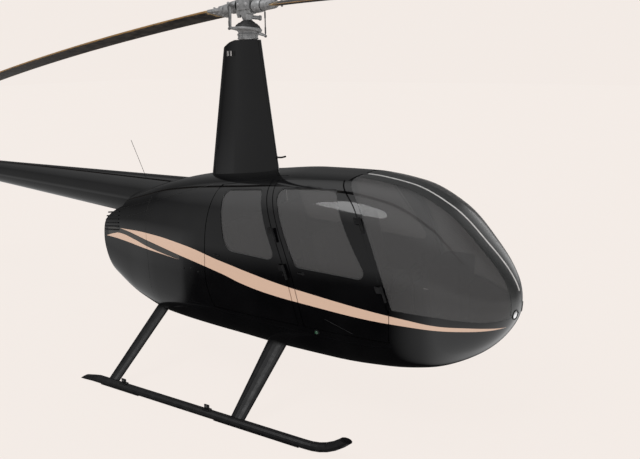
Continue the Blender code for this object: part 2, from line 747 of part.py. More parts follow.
def edge_slants(line, ahead):
    """A door's edge with its slants: ahead all along, and upwards at its foot, along the edge itself."""
    made = []
    for i, (x, z) in enumerate(line):
        low = line[max(i - 1, 0)]
        high = line[min(i + 1, len(line) - 1)]
        lean = (high[0] - low[0]) / (high[1] - low[1])
        rise = EDGE_SLANT_LOW * max(0.0, 1 - (z - line[0][1]) / 0.2)
        made.append(((x, z), (ahead + rise * lean, rise)))
    return made


def door_region(row, side):
    """Region of a door. Its aft and lower edges slant, so that its inner corners swing past the frame."""
    bottom = SILL_Z + DOOR_GAP
    if row == "front":
        front = shift_line(POST_LINE, -POST_FRONT_WIDTH - DOOR_GAP)
        back = above(shift_line(MIDDLE_LINE, POST_MIDDLE_HALF + DOOR_GAP), bottom)
        front = [(NOSE_SPLIT_X - DOOR_GAP, bottom)] + front
    else:
        front = above(shift_line(MIDDLE_LINE, -POST_MIDDLE_HALF - DOOR_GAP), bottom)
        back = above(AFT_LINE, bottom)
    outline = edge_slants(front, 0.0)
    outline += [((front[-1][0], HIGH_Z), (0.0, 0.0)), ((back[-1][0], HIGH_Z), (0.0, 0.0))]
    outline += edge_slants(back, EDGE_SLANT_AFT)[::-1]
    near = []
    far = []
    for (x, z), (ahead, rise) in outline:
        inner = roof_edge(x) + DOOR_GAP - SEAT_GAP
        depth = max(skin_y(x, z) - inner, 0.0) if z < body_top(x) else 0.0
        beyond = FAR - inner - depth
        near.append((x + ahead * depth, side * inner, z + rise * depth))
        far.append((x - ahead * beyond, side * FAR, z - rise * beyond))
    return loft([near, far])


def make_doors():
    """Four doors with their windows cut, their glass, hinges and handles."""
    glass_inner = guide("glass_inner", *body_shape(GLASS_INSET + GLASS_THICK))
    for word, side in SIDES.items():
        for row, window in (("front", WINDOW_FRONT), ("rear", WINDOW_REAR)):
            name = f"door_{row}_{word}"
            low, high = hinge_ends(row, side)
            door = skin_panel(name, door_region(row, side))
            hole = prism_y(rounded(window), lambda x: side * 0.15, side * FAR)
            cut(door, guide(f"{name}.window", *hole))
            for number, shape in enumerate(hinge_parts(row, side, False)):
                cut(door, guide(f"{name}.hinge{number}", *shape), "UNION")
            long, proud, tall = HANDLE
            at = (0.955, 1.120) if row == "front" else (0.120, 1.120)
            y = skin_y(*at)
            near = (at[0] - long / 2, side * (y - 0.012), at[1] - tall / 2)
            far = (at[0] + long / 2, side * (y + proud), at[1] + tall / 2)
            corners = (tuple(map(min, near, far)), tuple(map(max, near, far)))
            cut(door, guide(f"{name}.handle", *slab(*corners)), "UNION")
            pane = solid(f"glass_{row}_{word}", *body_shape(GLASS_INSET), GLASS)
            fill = prism_y(rounded(window, -SEAT_GAP), lambda x: side * 0.15, side * FAR)
            cut(pane, guide(f"{name}.pane", *fill), "INTERSECT")
            cut(pane, glass_inner)
            for piece in list(bpy.data.objects):
                if piece.name.startswith(name) or piece == pane:
                    carry(piece, low)


# Cabin and engine bay

def within(name, shape, material):
    """A piece of the inside that ends at the skins' inner faces."""
    made = solid(name, *shape, material)
    cut(made, ROOM, "INTERSECT")
    return made


def extruded(outline, y_low, y_high, up=0.0, back=0.0):
    """Side outline drawn across, moved up and back."""
    placed = [(x - back, z + up) for x, z in outline]
    return prism_y(placed, lambda x: y_low, y_high)


def make_cabin():
    """Floor, firewall, seat boxes, seats, console and controls."""
    deck = slab((FLOOR_X[0], -FAR, FLOOR_Z - FLOOR_THICK), (FLOOR_X[1], FAR, FLOOR_Z))
    within("cabin_floor", deck, CARPET)
    within("firewall", slab((FIREWALL_X[0], -FAR, LOW_Z), (FIREWALL_X[1], FAR, HIGH_Z)), TRIM)
    deck = FLOOR_Z + SEAT_GAP
    for row, back in (("front", 0.0), ("rear", SEAT_SHIFT)):
        within(f"seat_box_{row}", extruded(SEAT_BOX, -SEAT_BOX_HALF, SEAT_BOX_HALF, deck, back), TRIM)
        for word, side in SIDES.items():
            y_low, y_high = sorted((side * SEAT_Y[0], side * SEAT_Y[1]))
            name = f"seat_{row}_{word}"
            solid(name, *extruded(SEAT_PAD, y_low, y_high, deck, back), LEATHER)
    pedestal = extruded(PEDESTAL, -PEDESTAL_HALF, PEDESTAL_HALF, deck)
    hood = extruded(DIAL_HOOD, -DIAL_HOOD_HALF, DIAL_HOOD_HALF, deck)
    fused("instrument_console", [pedestal, hood], TRIM)
    foot, knee, top = STICK_X
    knee_z, bar_z = STICK_Z
    stick = [rod((foot, 0, deck + 0.01), (knee, 0, knee_z), 0.018, 10)]
    stick.append(turned(((0.050, deck), (0.030, deck + 0.045)), 12, (foot, 0)))
    stick.append(rod((knee, 0, knee_z - 0.02), (top, 0, bar_z), 0.016, 10))
    stick.append(rod((top, -GRIP_Y, bar_z), (top, GRIP_Y, bar_z), 0.013, 10))
    for y in (-GRIP_Y, GRIP_Y):
        stick.append(rod((top, y, GRIP_Z[0]), (top, y, GRIP_Z[1]), 0.018, 10))
    fused("cyclic_stick", stick, SATIN_BLACK)
    bar_z, plate_low, plate_high = PEDAL_Z
    for word, side in SIDES.items():
        ends = [side * (PEDAL_Y[0] - 0.03), side * (PEDAL_Y[1] + 0.03)]
        bar = [rod((PEDAL_X, ends[0], bar_z), (PEDAL_X, ends[1], bar_z), 0.012, 8)]
        for y in PEDAL_Y:
            bar.append(rod((PEDAL_X, side * y, deck), (PEDAL_X, side * y, plate_low + 0.04), 0.010, 8))
            near, far = sorted((side * (y - 0.045), side * (y + 0.045)))
            bar.append(slab((PEDAL_X - 0.015, near, plate_low), (PEDAL_X - 0.002, far, plate_high)))
        fused(f"pedals_{word}", bar, ALLOY)


def make_engine():
    """Engine as one block with its silencer, and the cooling fan behind it."""
    x, half, z, radius = SILENCER
    silencer = rod((x, -half, z), (x, half, z), radius, 16)
    engine = fused("engine_block", [slab(*ENGINE), silencer], ENGINE_METAL)
    cut(engine, ROOM, "INTERSECT")
    shaft = rod((ENGINE[0][0] - SEAT_GAP, 0, FAN["z"]), (FAN["aft"], 0, FAN["z"]), FAN["shaft"], 16)
    wheel = rod((FAN["front"], 0, FAN["z"]), (FAN["aft"], 0, FAN["z"]), FAN["radius"], 24)
    made = fused("cooling_fan", [wheel, shaft], ALLOY)
    cut(made, ROOM, "INTERSECT")


def make_aft_end():
    """Grille across the body's aft opening, and the shelf and bulkhead that close it under the boom."""
    sheet = slab((GRILLE_X[0], -FAR, LOW_Z), (GRILLE_X[1], FAR, GRILLE_TOP_Z))
    made = within("aft_grille", sheet, SATIN_BLACK)
    for row, (z, half) in enumerate(zip(SLOT_Z, SLOT_HALF)):
        hole = slab((GRILLE_X[0] - 0.01, -half, z), (GRILLE_X[1] + 0.01, half, z + SLOT_HEIGHT))
        cut(made, guide(f"aft_grille.slot{row}", *hole))
    shelf = slab((GRILLE_X[0], -FAR, SHELF_Z[0]), (BULKHEAD_X[1], FAR, SHELF_Z[1]))
    wall = slab((BULKHEAD_X[0], -FAR, SHELF_Z[0]), (BULKHEAD_X[1], FAR, HIGH_Z))
    made = fused("aft_bulkhead", [shelf, wall], SATIN_BLACK)
    cut(made, ROOM, "INTERSECT")
    cut(made, BOOM_HOLE)


# Mast, fairing and main rotor

def wing_ring(front, aft, half, z, count=9, blunt=0.06):
    """Streamlined section in plan: round in front, thin behind."""
    chord = front - aft
    upper = []
    for k in range(count):
        u = (k / (count - 1)) ** 1.6
        shape = 2.6 * math.sqrt(u) * (1 - u) ** 0.75 * 0.72 + blunt * u
        upper.append((front - u * chord, min(shape, 1.0) * half))
    ring = upper + [(x, -y) for x, y in upper[:0:-1]]
    return [(x, y, z) for x, y in ring]


def make_fairing():
    """Mast fairing with the air data tube on its front."""
    rings = []
    for k in range(5):
        t = k / 4
        low = FAIRING_BASE
        high = FAIRING_TOP
        front = low["front"] + (high["front"] - low["front"]) * t
        aft = low["aft"] + (high["aft"] - low["aft"]) * t
        half = low["half"] + (high["half"] - low["half"]) * t
        rings.append(wing_ring(front, aft, half, low["z"] + (high["z"] - low["z"]) * t))
    fairing = solid("mast_fairing", *loft(rings), GLOSS_BLACK)
    cut(fairing, CLEAR)
    cut(fairing, guide("mast_fairing.slope", *prism_y(FAIRING_SLOPE, lambda x: -0.3, 0.3)))
    tube = bent_tube(AIR_TUBE, AIR_TUBE_RADIUS, 8)
    cut(fairing, guide("mast_fairing.pitot", *tube), "UNION")


def make_swashplate():
    """Fixed lower housing on the mast, and the turning upper plate with its links."""
    base = FAIRING_TOP["z"] + SEAT_GAP
    solid("swashplate_lower", *turned([(radius, base + z) for radius, z in HOUSING]), ALLOY)
    low = base + HOUSING[-1][1] + SEAT_GAP
    near = BLADE_AZIMUTH + LINK_AZIMUTH
    tilt = Matrix.Rotation(PLATE_TILT, 4, (math.sin(near), -math.cos(near), 0))
    plate = moved(turned(PLATE), Matrix.Translation((0, 0, PLATE_Z)) @ tilt)
    shapes = [turned(((SLEEVE_RADIUS, low), (SLEEVE_RADIUS, PLATE_Z + 0.01))), plate, turned(BOOT)]
    for azimuth, low, high in zip((near, near + math.pi), LINK_FEET_Z, LINK_HEADS_Z):
        out = Vector((math.cos(azimuth), math.sin(azimuth), 0))
        root = out * LINK_RADIUS * 0.5 + Vector((0, 0, (PLATE_Z + low) / 2))
        end = out * LINK_RADIUS + Vector((0, 0, low))
        shapes.append(rod(root, end, ARM_RADII[0], 10, ARM_RADII[1]))
        foot = end - Vector((0, 0, ARM_RADII[1]))
        shapes.append(rod(foot, out * LINK_RADIUS + Vector((0, 0, high)), LINK_THICK, 8))
    return fused("swashplate_upper", shapes, ALLOY)


def blade_height(r, number):
    """Height of a parked blade's pitch axis. The teetered hub lowers the aft blade, and both blades sag."""
    return BLADE_ROOT_Z - BLADE_SLOPES[number] * r - BLADE_SAG * r * r


def pitched(r, y, h, number, share=1.0):
    """Point of a blade at a radius, turned by the blade's pitch there, leading edge up."""
    angle = (BLADE_PITCH + BLADE_TWIST * r) * share
    aside = y * math.cos(angle) - h * math.sin(angle)
    rise = y * math.sin(angle) + h * math.cos(angle)
    return (r, aside, blade_height(r, number) + rise)


def blade_section(r, number):
    """Aerofoil section at a radius, leading edge towards +Y."""
    upper = []
    for k in range(7):
        u = (k / 6) ** 1.5
        half = BLADE_THICK * (1.45 * math.sqrt(u) * (1 - u) ** 0.9 + 0.035)
        upper.append(((0.25 - u) * BLADE_CHORD, half))
    lower = [(y, -h) for y, h in upper[::-1]]
    return [pitched(r, y, h, number) for y, h in upper + lower]


def make_rotor():
    """Hub with its shaft, grips and pitch horns, and two blades."""
    long, wide, tall = HUB_BLOCK
    block = slab((-long / 2, -wide / 2, -tall / 2), (long / 2, wide / 2, tall / 2))
    cap = turned([(radius, tall / 2 + z) for radius, z in HUB_CAP], 16)
    lean = Matrix.Translation((0, 0, BLADE_ROOT_Z)) @ Matrix.Rotation(TEETER, 4, "Y")
    shapes = [moved(block, lean), moved(cap, lean), turned(HUB_NECK), rod(*HUB_BALL, HUB_BALL_RADIUS, 12)]
    for number, turn in enumerate((0, math.pi)):
        spin = Matrix.Rotation(turn, 4, "Z")
        grip = []
        for start, end, radius, far, sides in GRIP:
            root = (start, 0, blade_height(start, number))
            grip.append(rod(root, (end, 0, blade_height(end, number)), radius, sides, far))
        tip = (LINK_RADIUS * math.cos(LINK_AZIMUTH), LINK_RADIUS * math.sin(LINK_AZIMUTH),
               LINK_HEADS_Z[number] + LINK_DROP)
        root = (*HORN_START, blade_height(HORN_START[0], number))
        grip.append(rod(root, tip, HORN_RADII[0], 8, HORN_RADII[1]))
        ends = []
        for r in CUFF_PLACES:
            share = (r - CUFF_PLACES[0]) / (CUFF_PLACES[-1] - CUFF_PLACES[0])
            half = CUFF_HALF + (BLADE_CHORD / 2 - CUFF_HALF) * share
            middle = -0.25 * BLADE_CHORD * share
            deep = CUFF_DEPTH[0] + (CUFF_DEPTH[1] - CUFF_DEPTH[0]) * share
            low, high = middle - half, middle + half
            corners = ((low, -deep), (high, -deep), (high, deep), (low, deep))
            ends.append([pitched(r, y, h, number, share) for y, h in corners])
        grip.append(loft(ends))
        shapes += [moved(shape, spin) for shape in grip]
    hub = fused("rotor_hub", shapes, ALLOY)
    pieces = [hub]
    for number, turn in enumerate((0, math.pi)):
        rings = []
        for k in range(13):
            rings.append(blade_section(BLADE_START + (ROTOR_RADIUS - BLADE_START) * k / 12, number))
        shape = moved(loft(rings), Matrix.Rotation(turn, 4, "Z"))
        pieces.append(solid(f"rotor_blade_{number + 1}", *shape, BLADE_PAINT))
    turn = Matrix.Rotation(BLADE_AZIMUTH, 4, "Z")
    for piece in list(bpy.data.objects):
        if piece in pieces or piece.name.startswith("rotor_hub.add"):
            piece.data.transform(turn)


# Tail

def fin_shape(root, tip, thick):
    """Tapered surface between two chords, each given as (leading x, trailing x, z)."""
    rings = []
    for lead, trail, z in (root, tip):
        chord = lead - trail
        ring = []
        for u, h in ((0, 0.15), (0.06, 0.6), (0.25, 1), (0.6, 0.8), (1, 0.1)):
            ring.append((lead - u * chord, h * thick / 2, z))
        ring += [(x, -y, z) for x, y, z in ring[::-1]]
        rings.append(ring)
    return loft(rings)


def make_tail():
    """Boom, gearbox, fins, stabiliser, guard and tail rotor."""
    boom = solid("tail_boom", *boom_shape(0.0, BOOM_START_X, BOOM_END_X), GLOSS_BLACK)
    cut(boom, guide("tail_boom.bore", *boom_shape(-BOOM_WALL, BOOM_START_X + 0.1, BOOM_END_X - 0.1, 12, 5)))
    z = boom_z(TAIL_ROTOR_X)
    start = BOOM_END_X - SEAT_GAP
    box = tube_x([(start + x, z, radius) for x, radius in GEARBOX], 20)
    near, far = OUTPUT_Y
    output = rod((TAIL_ROTOR_X, near, z), (TAIL_ROTOR_X, far, z), OUTPUT_RADII[0], 20, OUTPUT_RADII[1])
    fused("tail_gearbox", [box, output], ALLOY)
    aside = Matrix.Translation((0, FIN_Y, z))
    upper = moved(fin_shape(*UPPER_FIN, FIN_THICK), aside)
    lower = moved(fin_shape(*LOWER_FIN, FIN_THICK), aside)
    mount = moved(slab(*FIN_PLATE), Matrix.Translation((0, 0, z)))
    shoe = bent_tube([(x, FIN_Y, z + rise) for x, rise in TAIL_SHOE], GUARD_RADIUS, 8)
    fused("tail_fins", [mount, upper, lower, shoe], GLOSS_BLACK)
    lay = Matrix.Rotation(math.radians(90), 4, "X")
    place = Matrix.Translation((0, FIN_PLATE[0][1] - SEAT_GAP, z + STABILISER_Z))
    solid("stabiliser", *moved(fin_shape(*STABILISER, STABILISER_THICK), place @ lay), GLOSS_BLACK)
    path = [(x, y, z + rise) for x, y, rise in GUARD_PATH]
    guard = solid("tail_guard", *bent_tube(path, GUARD_RADIUS, 8), SATIN_BLACK)
    cut(guard, guide("tail_guard.boom", *boom_shape(SEAT_GAP, -4.6, -5.5)))
    clear = tube_x([(start + x - SEAT_GAP, z, radius + SEAT_GAP) for x, radius in GEARBOX], 20)
    cut(guard, guide("tail_guard.rest", *clear))
    hub_y = TAIL_ROTOR_Y
    blades = [rod((0, far + SEAT_GAP - hub_y, 0), (0, TAIL_HUB, 0), TAIL_SHAFT_RADIUS, 14)]
    blades.append(slab((-TAIL_HUB, -TAIL_HUB / 2, -TAIL_HUB), (TAIL_HUB, TAIL_HUB / 2, TAIL_HUB)))
    for turn in (0, math.pi):
        rings = []
        for r, chord, thick in TAIL_BLADE:
            ring = []
            for u, h in ((0, 0.2), (0.1, 0.75), (0.3, 1), (1, 0.12)):
                ring.append(((0.3 - u) * chord, h * thick / 2, r))
            ring += [(x, -y, h) for x, y, h in ring[::-1]]
            rings.append(ring)
        blades.append(moved(loft(rings), Matrix.Rotation(TAIL_LEAN + turn, 4, "Y")))
    rotor = fused("tail_rotor", blades, BLADE_PAINT)
    for piece in list(bpy.data.objects):
        if piece == rotor or piece.name.startswith("tail_rotor.add"):
            piece.location = (TAIL_ROTOR_X, hub_y, z)


# Landing gear

def skid_path():
    """Centre line of a skid's round part in side view."""
    path = [(SKID_TAPER_X, SKID_Z), (SKID_BEND_X, SKID_Z)]
    tip_x, tip_z = SKID_TIP
    for k in range(1, 8):
        t = k / 7
        path.append((SKID_BEND_X + (tip_x - SKID_BEND_X) * t, SKID_Z + (tip_z - SKID_Z) * t ** SKID_CURVE))
    return path


def skid_tube(y, sides=12):
    """Skid tube with its pinched aft end and its bent-up front."""
    turns = [2 * math.pi * k / sides for k in range(sides)]
    rings = []
    for x, z, half, tall in SKID_END:
        rings.append([Vector((x, y + half * math.sin(a), z + tall * math.cos(a))) for a in turns])
    path = skid_path()
    for i, (x, z) in enumerate(path):
        low = path[max(i - 1, 0)]
        high = path[min(i + 1, len(path) - 1)]
        along = Vector((high[0] - low[0], 0, high[1] - low[1])).normalized()
        up = Vector((-along.z, 0, along.x)) * SKID_RADIUS
        across = Vector((0, SKID_RADIUS, 0))
        rings.append([Vector((x, y, z)) + up * math.cos(a) + across * math.sin(a) for a in turns])
    return loft(rings)


def make_gear():
    """Skid tubes with their wear shoes, and the four streamlined legs that join them to the body."""
    for word, side in SIDES.items():
        y = side * TRACK / 2
        skid = solid(f"skid_{word}", *skid_tube(y), SATIN_BLACK)
        cut(skid, guide(f"skid_{word}.tip", *prism_y(SKID_CUT, lambda x: y - 0.1, y + 0.1)))
        for number, (aft, fore) in enumerate(SHOES_X):
            shoe = slab((aft, y - SHOE_HALF, 0.0), (fore, y + SHOE_HALF, SHOE_TOP_Z))
            cut(skid, guide(f"skid_{word}.shoe{number}", *shoe), "UNION")
        tool = rod((SKID_TAPER_X, y, SKID_Z), (SKID_BEND_X, y, SKID_Z), SKID_RADIUS + SEAT_GAP, 24)
        rest = guide(f"skid_{word}.clear", *tool)
        for row, leg in (("front", FRONT_LEG), ("rear", REAR_LEG)):
            foot = Vector((0, y, SKID_Z))
            head = Vector((0, side * leg["top_y"], leg["top_z"]))
            way = (head - foot).normalized()
            across = Vector((0, way.z, -way.y))
            turns = [2 * math.pi * k / LEG_SIDES for k in range(LEG_SIDES)]
            rings = []
            for share in (0.0, LEG_REACH):
                middle, chord = (low + (high - low) * share for low, high in zip(leg["foot"], leg["top"]))
                centre = foot.lerp(head, share) + Vector((middle, 0, 0))
                long = Vector((chord / 2, 0, 0))
                deep = across * leg["thick"] / 2
                rings.append([centre + long * math.cos(a) + deep * math.sin(a) for a in turns])
            shape = solid(f"leg_{row}_{word}", *loft(rings), GLOSS_BLACK)
            cut(shape, CLEAR)
            cut(shape, rest)


make_skins()
make_posts()
make_windshield()
make_doors()
make_cabin()
make_engine()
make_aft_end()
make_fairing()
make_swashplate()
make_rotor()
make_tail()
make_gear()
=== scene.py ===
"""Looks of the light helicopter: paint, glass, cabin, rotor head, tail and landing gear.

The file is laid out as an add-on and is run as a script. Lengths are in metres. Along X, sizes are
measured ahead of the main rotor's axis, and MAST_X moves them to the frame. Heights are measured
from the ground.
"""

import json
import math

import bmesh
import bpy
import numpy as np
from bpy.props import FloatProperty, FloatVectorProperty, PointerProperty
from mathutils import Matrix, Vector


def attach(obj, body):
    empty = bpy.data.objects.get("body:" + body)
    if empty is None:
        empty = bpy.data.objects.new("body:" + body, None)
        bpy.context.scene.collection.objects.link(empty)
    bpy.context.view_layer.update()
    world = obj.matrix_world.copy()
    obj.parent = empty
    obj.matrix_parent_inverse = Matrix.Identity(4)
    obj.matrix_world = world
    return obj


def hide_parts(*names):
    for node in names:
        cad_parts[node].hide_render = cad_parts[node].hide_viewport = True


bl_info = {
    "name": "Light Helicopter Looks",
    "version": (1, 0, 0),
    "blender": (4, 5, 0),
    "location": "3D View > Sidebar > Helicopter",
    "description": "Dresses the solid model of a light helicopter with panels, glass, trim and finishes",
    "category": "Object",
}

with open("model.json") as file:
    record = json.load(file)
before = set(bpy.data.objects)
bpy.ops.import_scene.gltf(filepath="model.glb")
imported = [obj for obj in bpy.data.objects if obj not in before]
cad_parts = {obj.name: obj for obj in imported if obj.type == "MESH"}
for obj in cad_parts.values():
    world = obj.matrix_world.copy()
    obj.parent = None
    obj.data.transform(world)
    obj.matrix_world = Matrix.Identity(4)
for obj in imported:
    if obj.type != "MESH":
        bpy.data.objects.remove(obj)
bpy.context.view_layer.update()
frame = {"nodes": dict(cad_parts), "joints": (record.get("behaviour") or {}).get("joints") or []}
JOINTS = {joint["name"]: joint for joint in frame["joints"]}
MAST_X = JOINTS["main_rotor_spin"]["pos_m"][0]
TAIL_AXIS = JOINTS["tail_rotor_spin"]["pos_m"]

RIGHT = -1
LEFT = 1
SIDES = {"right": RIGHT, "left": LEFT}

# Body lines: distance ahead of the mast, half width, top, bottom and widest level
NOSE_X = 2.405
NOSE_Z = 0.970
AFT_X = -1.50
STATIONS = (
    (2.15, 0.431, 1.408, 0.586, 0.961),
    (1.85, 0.570, 1.675, 0.458, 0.978),
    (1.50, 0.632, 1.825, 0.405, 0.988),
    (1.10, 0.652, 1.870, 0.379, 1.005),
    (0.60, 0.660, 1.861, 0.382, 1.022),
    (0.10, 0.653, 1.811, 0.401, 1.042),
    (-0.30, 0.628, 1.766, 0.409, 1.060),
    (-0.70, 0.574, 1.700, 0.418, 1.095),
    (-1.10, 0.490, 1.587, 0.492, 1.150),
    (-1.45, 0.430, 1.451, 0.672, 1.214),
    (-1.62, 0.405, 1.380, 0.810, 1.235),
)
STATION_SCALE = 0.6
NOSE_ROUND = 2.5
UPPER_ROUND = 3.5
LOWER_ROUND = 3.3
SKIN = 0.035
ON_SKIN = 0.0008
SEAT_GAP = 0.0003
DOOR_GAP = 0.007
EDGE_SLANT_AFT = 0.55
EDGE_SLANT_FRONT = -0.16
EDGE_SLANT_LOW = 0.40
ROOF_EDGE = 0.400
ROOF_TAPER = 0.110
WINDSHIELD_TOP_X = 1.10
BODY_SPLIT_X = -0.80
NOSE_SPLIT_X = 1.612
SILL_Z = 0.740
FAR = 1.0
LOW_Z = 0.10
HIGH_Z = 2.30

# Side view lines of the posts, as (x, z) from the sill up
POST_FRONT = ((1.640, 0.970), (1.536, 1.261), (1.436, 1.504), (1.299, 1.730), (1.060, 1.905))
POST_MIDDLE = ((0.88, 0.735), (0.873, 0.769), (0.831, 0.943), (0.75, 1.23), (0.50, 1.80), (0.44, 1.93))
DOOR_AFT = ((0.02, 0.735), (-0.03, 0.86), (-0.06, 1.015), (-0.05, 1.30), (-0.01, 1.80), (0.005, 1.93))
AFT_EDGE = ((-1.375, 0.300), (-1.375, 0.600), (-1.405, 0.700), (-1.437, 0.790), (-1.461, 0.930),
            (-1.477, 1.090), (-1.468, 1.181), (-1.452, 1.246), (-1.424, 1.300), (-1.371, 1.353),
            (-1.306, 1.398), (-1.200, 1.450), (-1.150, 1.620), (-1.150, 2.300))
WINDSHIELD_SILL = ((1.560, 1.004), (1.954, 0.977), (2.231, 0.936), (2.349, 0.925), (2.600, 0.925))
POST_FRONT_WIDTH = 0.029
POST_MIDDLE_HALF = 0.022
CENTRE_POST_HALF = 0.040
WINDOW_FRONT = (((0.573, 1.786), 0.04), ((1.086, 1.812), 0.04), ((1.454, 1.197), 0.05),
                ((0.838, 1.218), 0.06))
WINDOW_REAR = (((0.059, 1.730), 0.05), ((0.434, 1.766), 0.04), ((0.663, 1.241), 0.05),
               ((0.165, 1.262), 0.11))
GLASS_INSET = 0.006
GLASS_THICK = 0.005
WINDSHIELD_THICK = 0.007

# Stripe edges in side view, from the tail forward, as (x, z)
STRIPE_TOP = ((-1.45, 1.236), (-1.202, 1.246), (-0.737, 1.269), (-0.379, 1.250), (0.109, 1.166),
              (0.410, 1.110), (0.685, 1.064), (1.043, 1.020), (1.368, 0.983), (1.689, 0.948),
              (1.946, 0.914), (2.174, 0.898), (2.356, 0.860))
STRIPE_LOW = ((-1.45, 1.250), (-1.202, 1.244), (-0.900, 1.215), (-0.500, 1.163), (0.103, 1.061),
              (0.337, 1.003), (0.596, 0.963), (1.042, 0.927), (1.368, 0.905), (1.690, 0.893),
              (1.947, 0.880), (2.174, 0.872), (2.356, 0.860))
BRANCH_TOP = ((-1.50, 1.120), (-1.436, 1.139), (-1.290, 1.185), (-1.222, 1.197), (-1.000, 1.176),
              (-0.831, 1.150), (-0.600, 1.122), (-0.358, 1.100))
BRANCH_LOW = ((-1.50, 1.139), (-1.436, 1.139), (-1.300, 1.139), (-1.100, 1.132), (-0.975, 1.125),
              (-0.600, 1.112), (-0.358, 1.100))


# Curves

class Line:
    """Smooth curve through points that never overshoots them (monotone cubic), on numbers or arrays."""

    def __init__(self, xs, ys):
        self.xs = np.asarray(xs, float)
        self.ys = np.asarray(ys, float)
        self.step = np.diff(self.xs)
        slope = np.diff(self.ys) / self.step
        self.tangent = np.zeros(len(self.xs))
        for i in range(1, len(self.xs) - 1):
            if slope[i - 1] * slope[i] > 0:
                before = 2 * self.step[i] + self.step[i - 1]
                after = self.step[i] + 2 * self.step[i - 1]
                self.tangent[i] = (before + after) / (before / slope[i - 1] + after / slope[i])
        self.tangent[0] = slope[0]
        self.tangent[-1] = slope[-1]

    def __call__(self, x):
        x = np.asarray(x, float)
        k = np.clip(np.searchsorted(self.xs, x) - 1, 0, len(self.xs) - 2)
        step = self.step[k]
        t = (x - self.xs[k]) / step
        start = (1 + 2 * t) * (1 - t) ** 2 * self.ys[k] + t * (1 - t) ** 2 * step * self.tangent[k]
        end = t * t * (3 - 2 * t) * self.ys[k + 1] + t * t * (t - 1) * step * self.tangent[k + 1]
        return start + end


def smooth_line(points, count):
    """Evenly spaced points on a smooth curve through 2-D or 3-D points."""
    flat = np.array(points, float)
    reach = np.concatenate([[0], np.cumsum(np.linalg.norm(np.diff(flat, axis=0), axis=1))])
    places = np.linspace(0, reach[-1], count)
    columns = [Line(reach, flat[:, c])(places) for c in range(flat.shape[1])]
    return [tuple(p) for p in np.stack(columns, -1)]


def shift_line(points, distance):
    """Move a side view line sideways, to the right of its direction."""
    flat = np.array(points, float)
    along = np.gradient(flat, axis=0)
    along /= np.linalg.norm(along, axis=1)[:, None]
    aside = np.stack([along[:, 1], -along[:, 0]], -1)
    return [tuple(p) for p in flat + aside * distance]


def above(line, z):
    """The part of a rising line above a height, starting at that height."""
    x = float(np.interp(z, [p[1] for p in line], [p[0] for p in line]))
    return [(x, z)] + [p for p in line if p[1] > z + 0.001]


def rounded(corners, grow=0.0, steps=8):
    """Outline with round corners. Corners are ((x, z), radius), and grow moves the outline outwards."""
    made = []
    for i, (corner, radius) in enumerate(corners):
        corner = np.array(corner)
        before = np.array(corners[i - 1][0]) - corner
        after = np.array(corners[(i + 1) % len(corners)][0]) - corner
        before /= np.linalg.norm(before)
        after /= np.linalg.norm(after)
        half = math.acos(float(np.clip(before @ after, -1, 1))) / 2
        inward = before + after
        inward /= np.linalg.norm(inward)
        centre = corner + inward * radius / math.sin(half)
        start = centre - corner - before * ((centre - corner) @ before)
        end = centre - corner - after * ((centre - corner) @ after)
        for k in range(steps + 1):
            way = (1 - k / steps) * -start + k / steps * -end
            way /= np.linalg.norm(way)
            made.append(tuple(centre + way * (radius + grow)))
    return made


# Body surface

POST_LINE = smooth_line(POST_FRONT, 25)
MIDDLE_LINE = smooth_line(POST_MIDDLE, 31)
AFT_LINE = smooth_line(DOOR_AFT, 25)
MARKS = [0.0] + [math.sqrt((NOSE_X - row[0]) / STATION_SCALE) for row in STATIONS]
HALF_LINE, TOP_LINE, BOTTOM_LINE, LEVEL_LINE = (
    Line(MARKS, [nose] + [row[column] for row in STATIONS])
    for column, nose in ((1, 0.0), (2, NOSE_Z), (3, NOSE_Z), (4, NOSE_Z)))


def place_of(x):
    """The surface's own coordinate along the body for a distance ahead of the mast."""
    return np.sqrt(np.maximum(NOSE_X - np.asarray(x, float), 0.0) / STATION_SCALE)


def surface(s, angle):
    """Points of the outer surface for arrays of s and angle."""
    s, angle = np.broadcast_arrays(np.asarray(s, float), np.asarray(angle, float))
    level = LEVEL_LINE(s)
    blend = np.clip(s / 1.2, 0, 1)
    blend = blend * blend * (3 - 2 * blend)
    upper = np.sin(angle) >= 0
    power = NOSE_ROUND + (np.where(upper, UPPER_ROUND, LOWER_ROUND) - NOSE_ROUND) * blend
    c = np.cos(angle)
    t = np.sin(angle)
    reach = (np.abs(c) ** power + np.abs(t) ** power) ** (-1 / power)
    height = np.where(upper, TOP_LINE(s) - level, level - BOTTOM_LINE(s))
    x = NOSE_X - STATION_SCALE * s * s
    return np.stack([x, HALF_LINE(s) * reach * c, level + height * reach * t], -1)


def surface_normal(s, angle):
    """Outward normals of the outer surface."""
    small = 0.003
    s = np.maximum(np.asarray(s, float), 2 * small)
    along = surface(s + small, angle) - surface(s - small, angle)
    around = surface(s, angle + small) - surface(s, angle - small)
    normal = np.cross(along, around)
    return normal / np.linalg.norm(normal, axis=-1)[..., None]


def nearest_on_surface(points):
    """For points near the surface: their depth under it and the normal above them."""
    points = np.asarray(points, float)
    seat = points.copy()
    for _ in range(4):
        s = np.maximum(place_of(seat[:, 0]), 0.02)
        level = LEVEL_LINE(s)
        up = seat[:, 2] >= level
        height = np.where(up, TOP_LINE(s) - level, level - BOTTOM_LINE(s))
        angle = np.arctan2((seat[:, 2] - level) / height, seat[:, 1] / HALF_LINE(s))
        normal = surface_normal(s, angle)
        depth = np.sum((surface(s, angle) - points) * normal, -1)
        seat = points + normal * depth[:, None]
    return depth, normal


def skin_y(x, z):
    """Half width of the outer surface at a place in side view."""
    s = place_of(x)
    angles = np.linspace(0, math.pi / 2, 400) * (1 if z >= LEVEL_LINE(s) else -1)
    line = surface(s, angles)
    order = np.argsort(line[:, 2])
    return float(np.interp(z, line[order, 2], line[order, 1]))


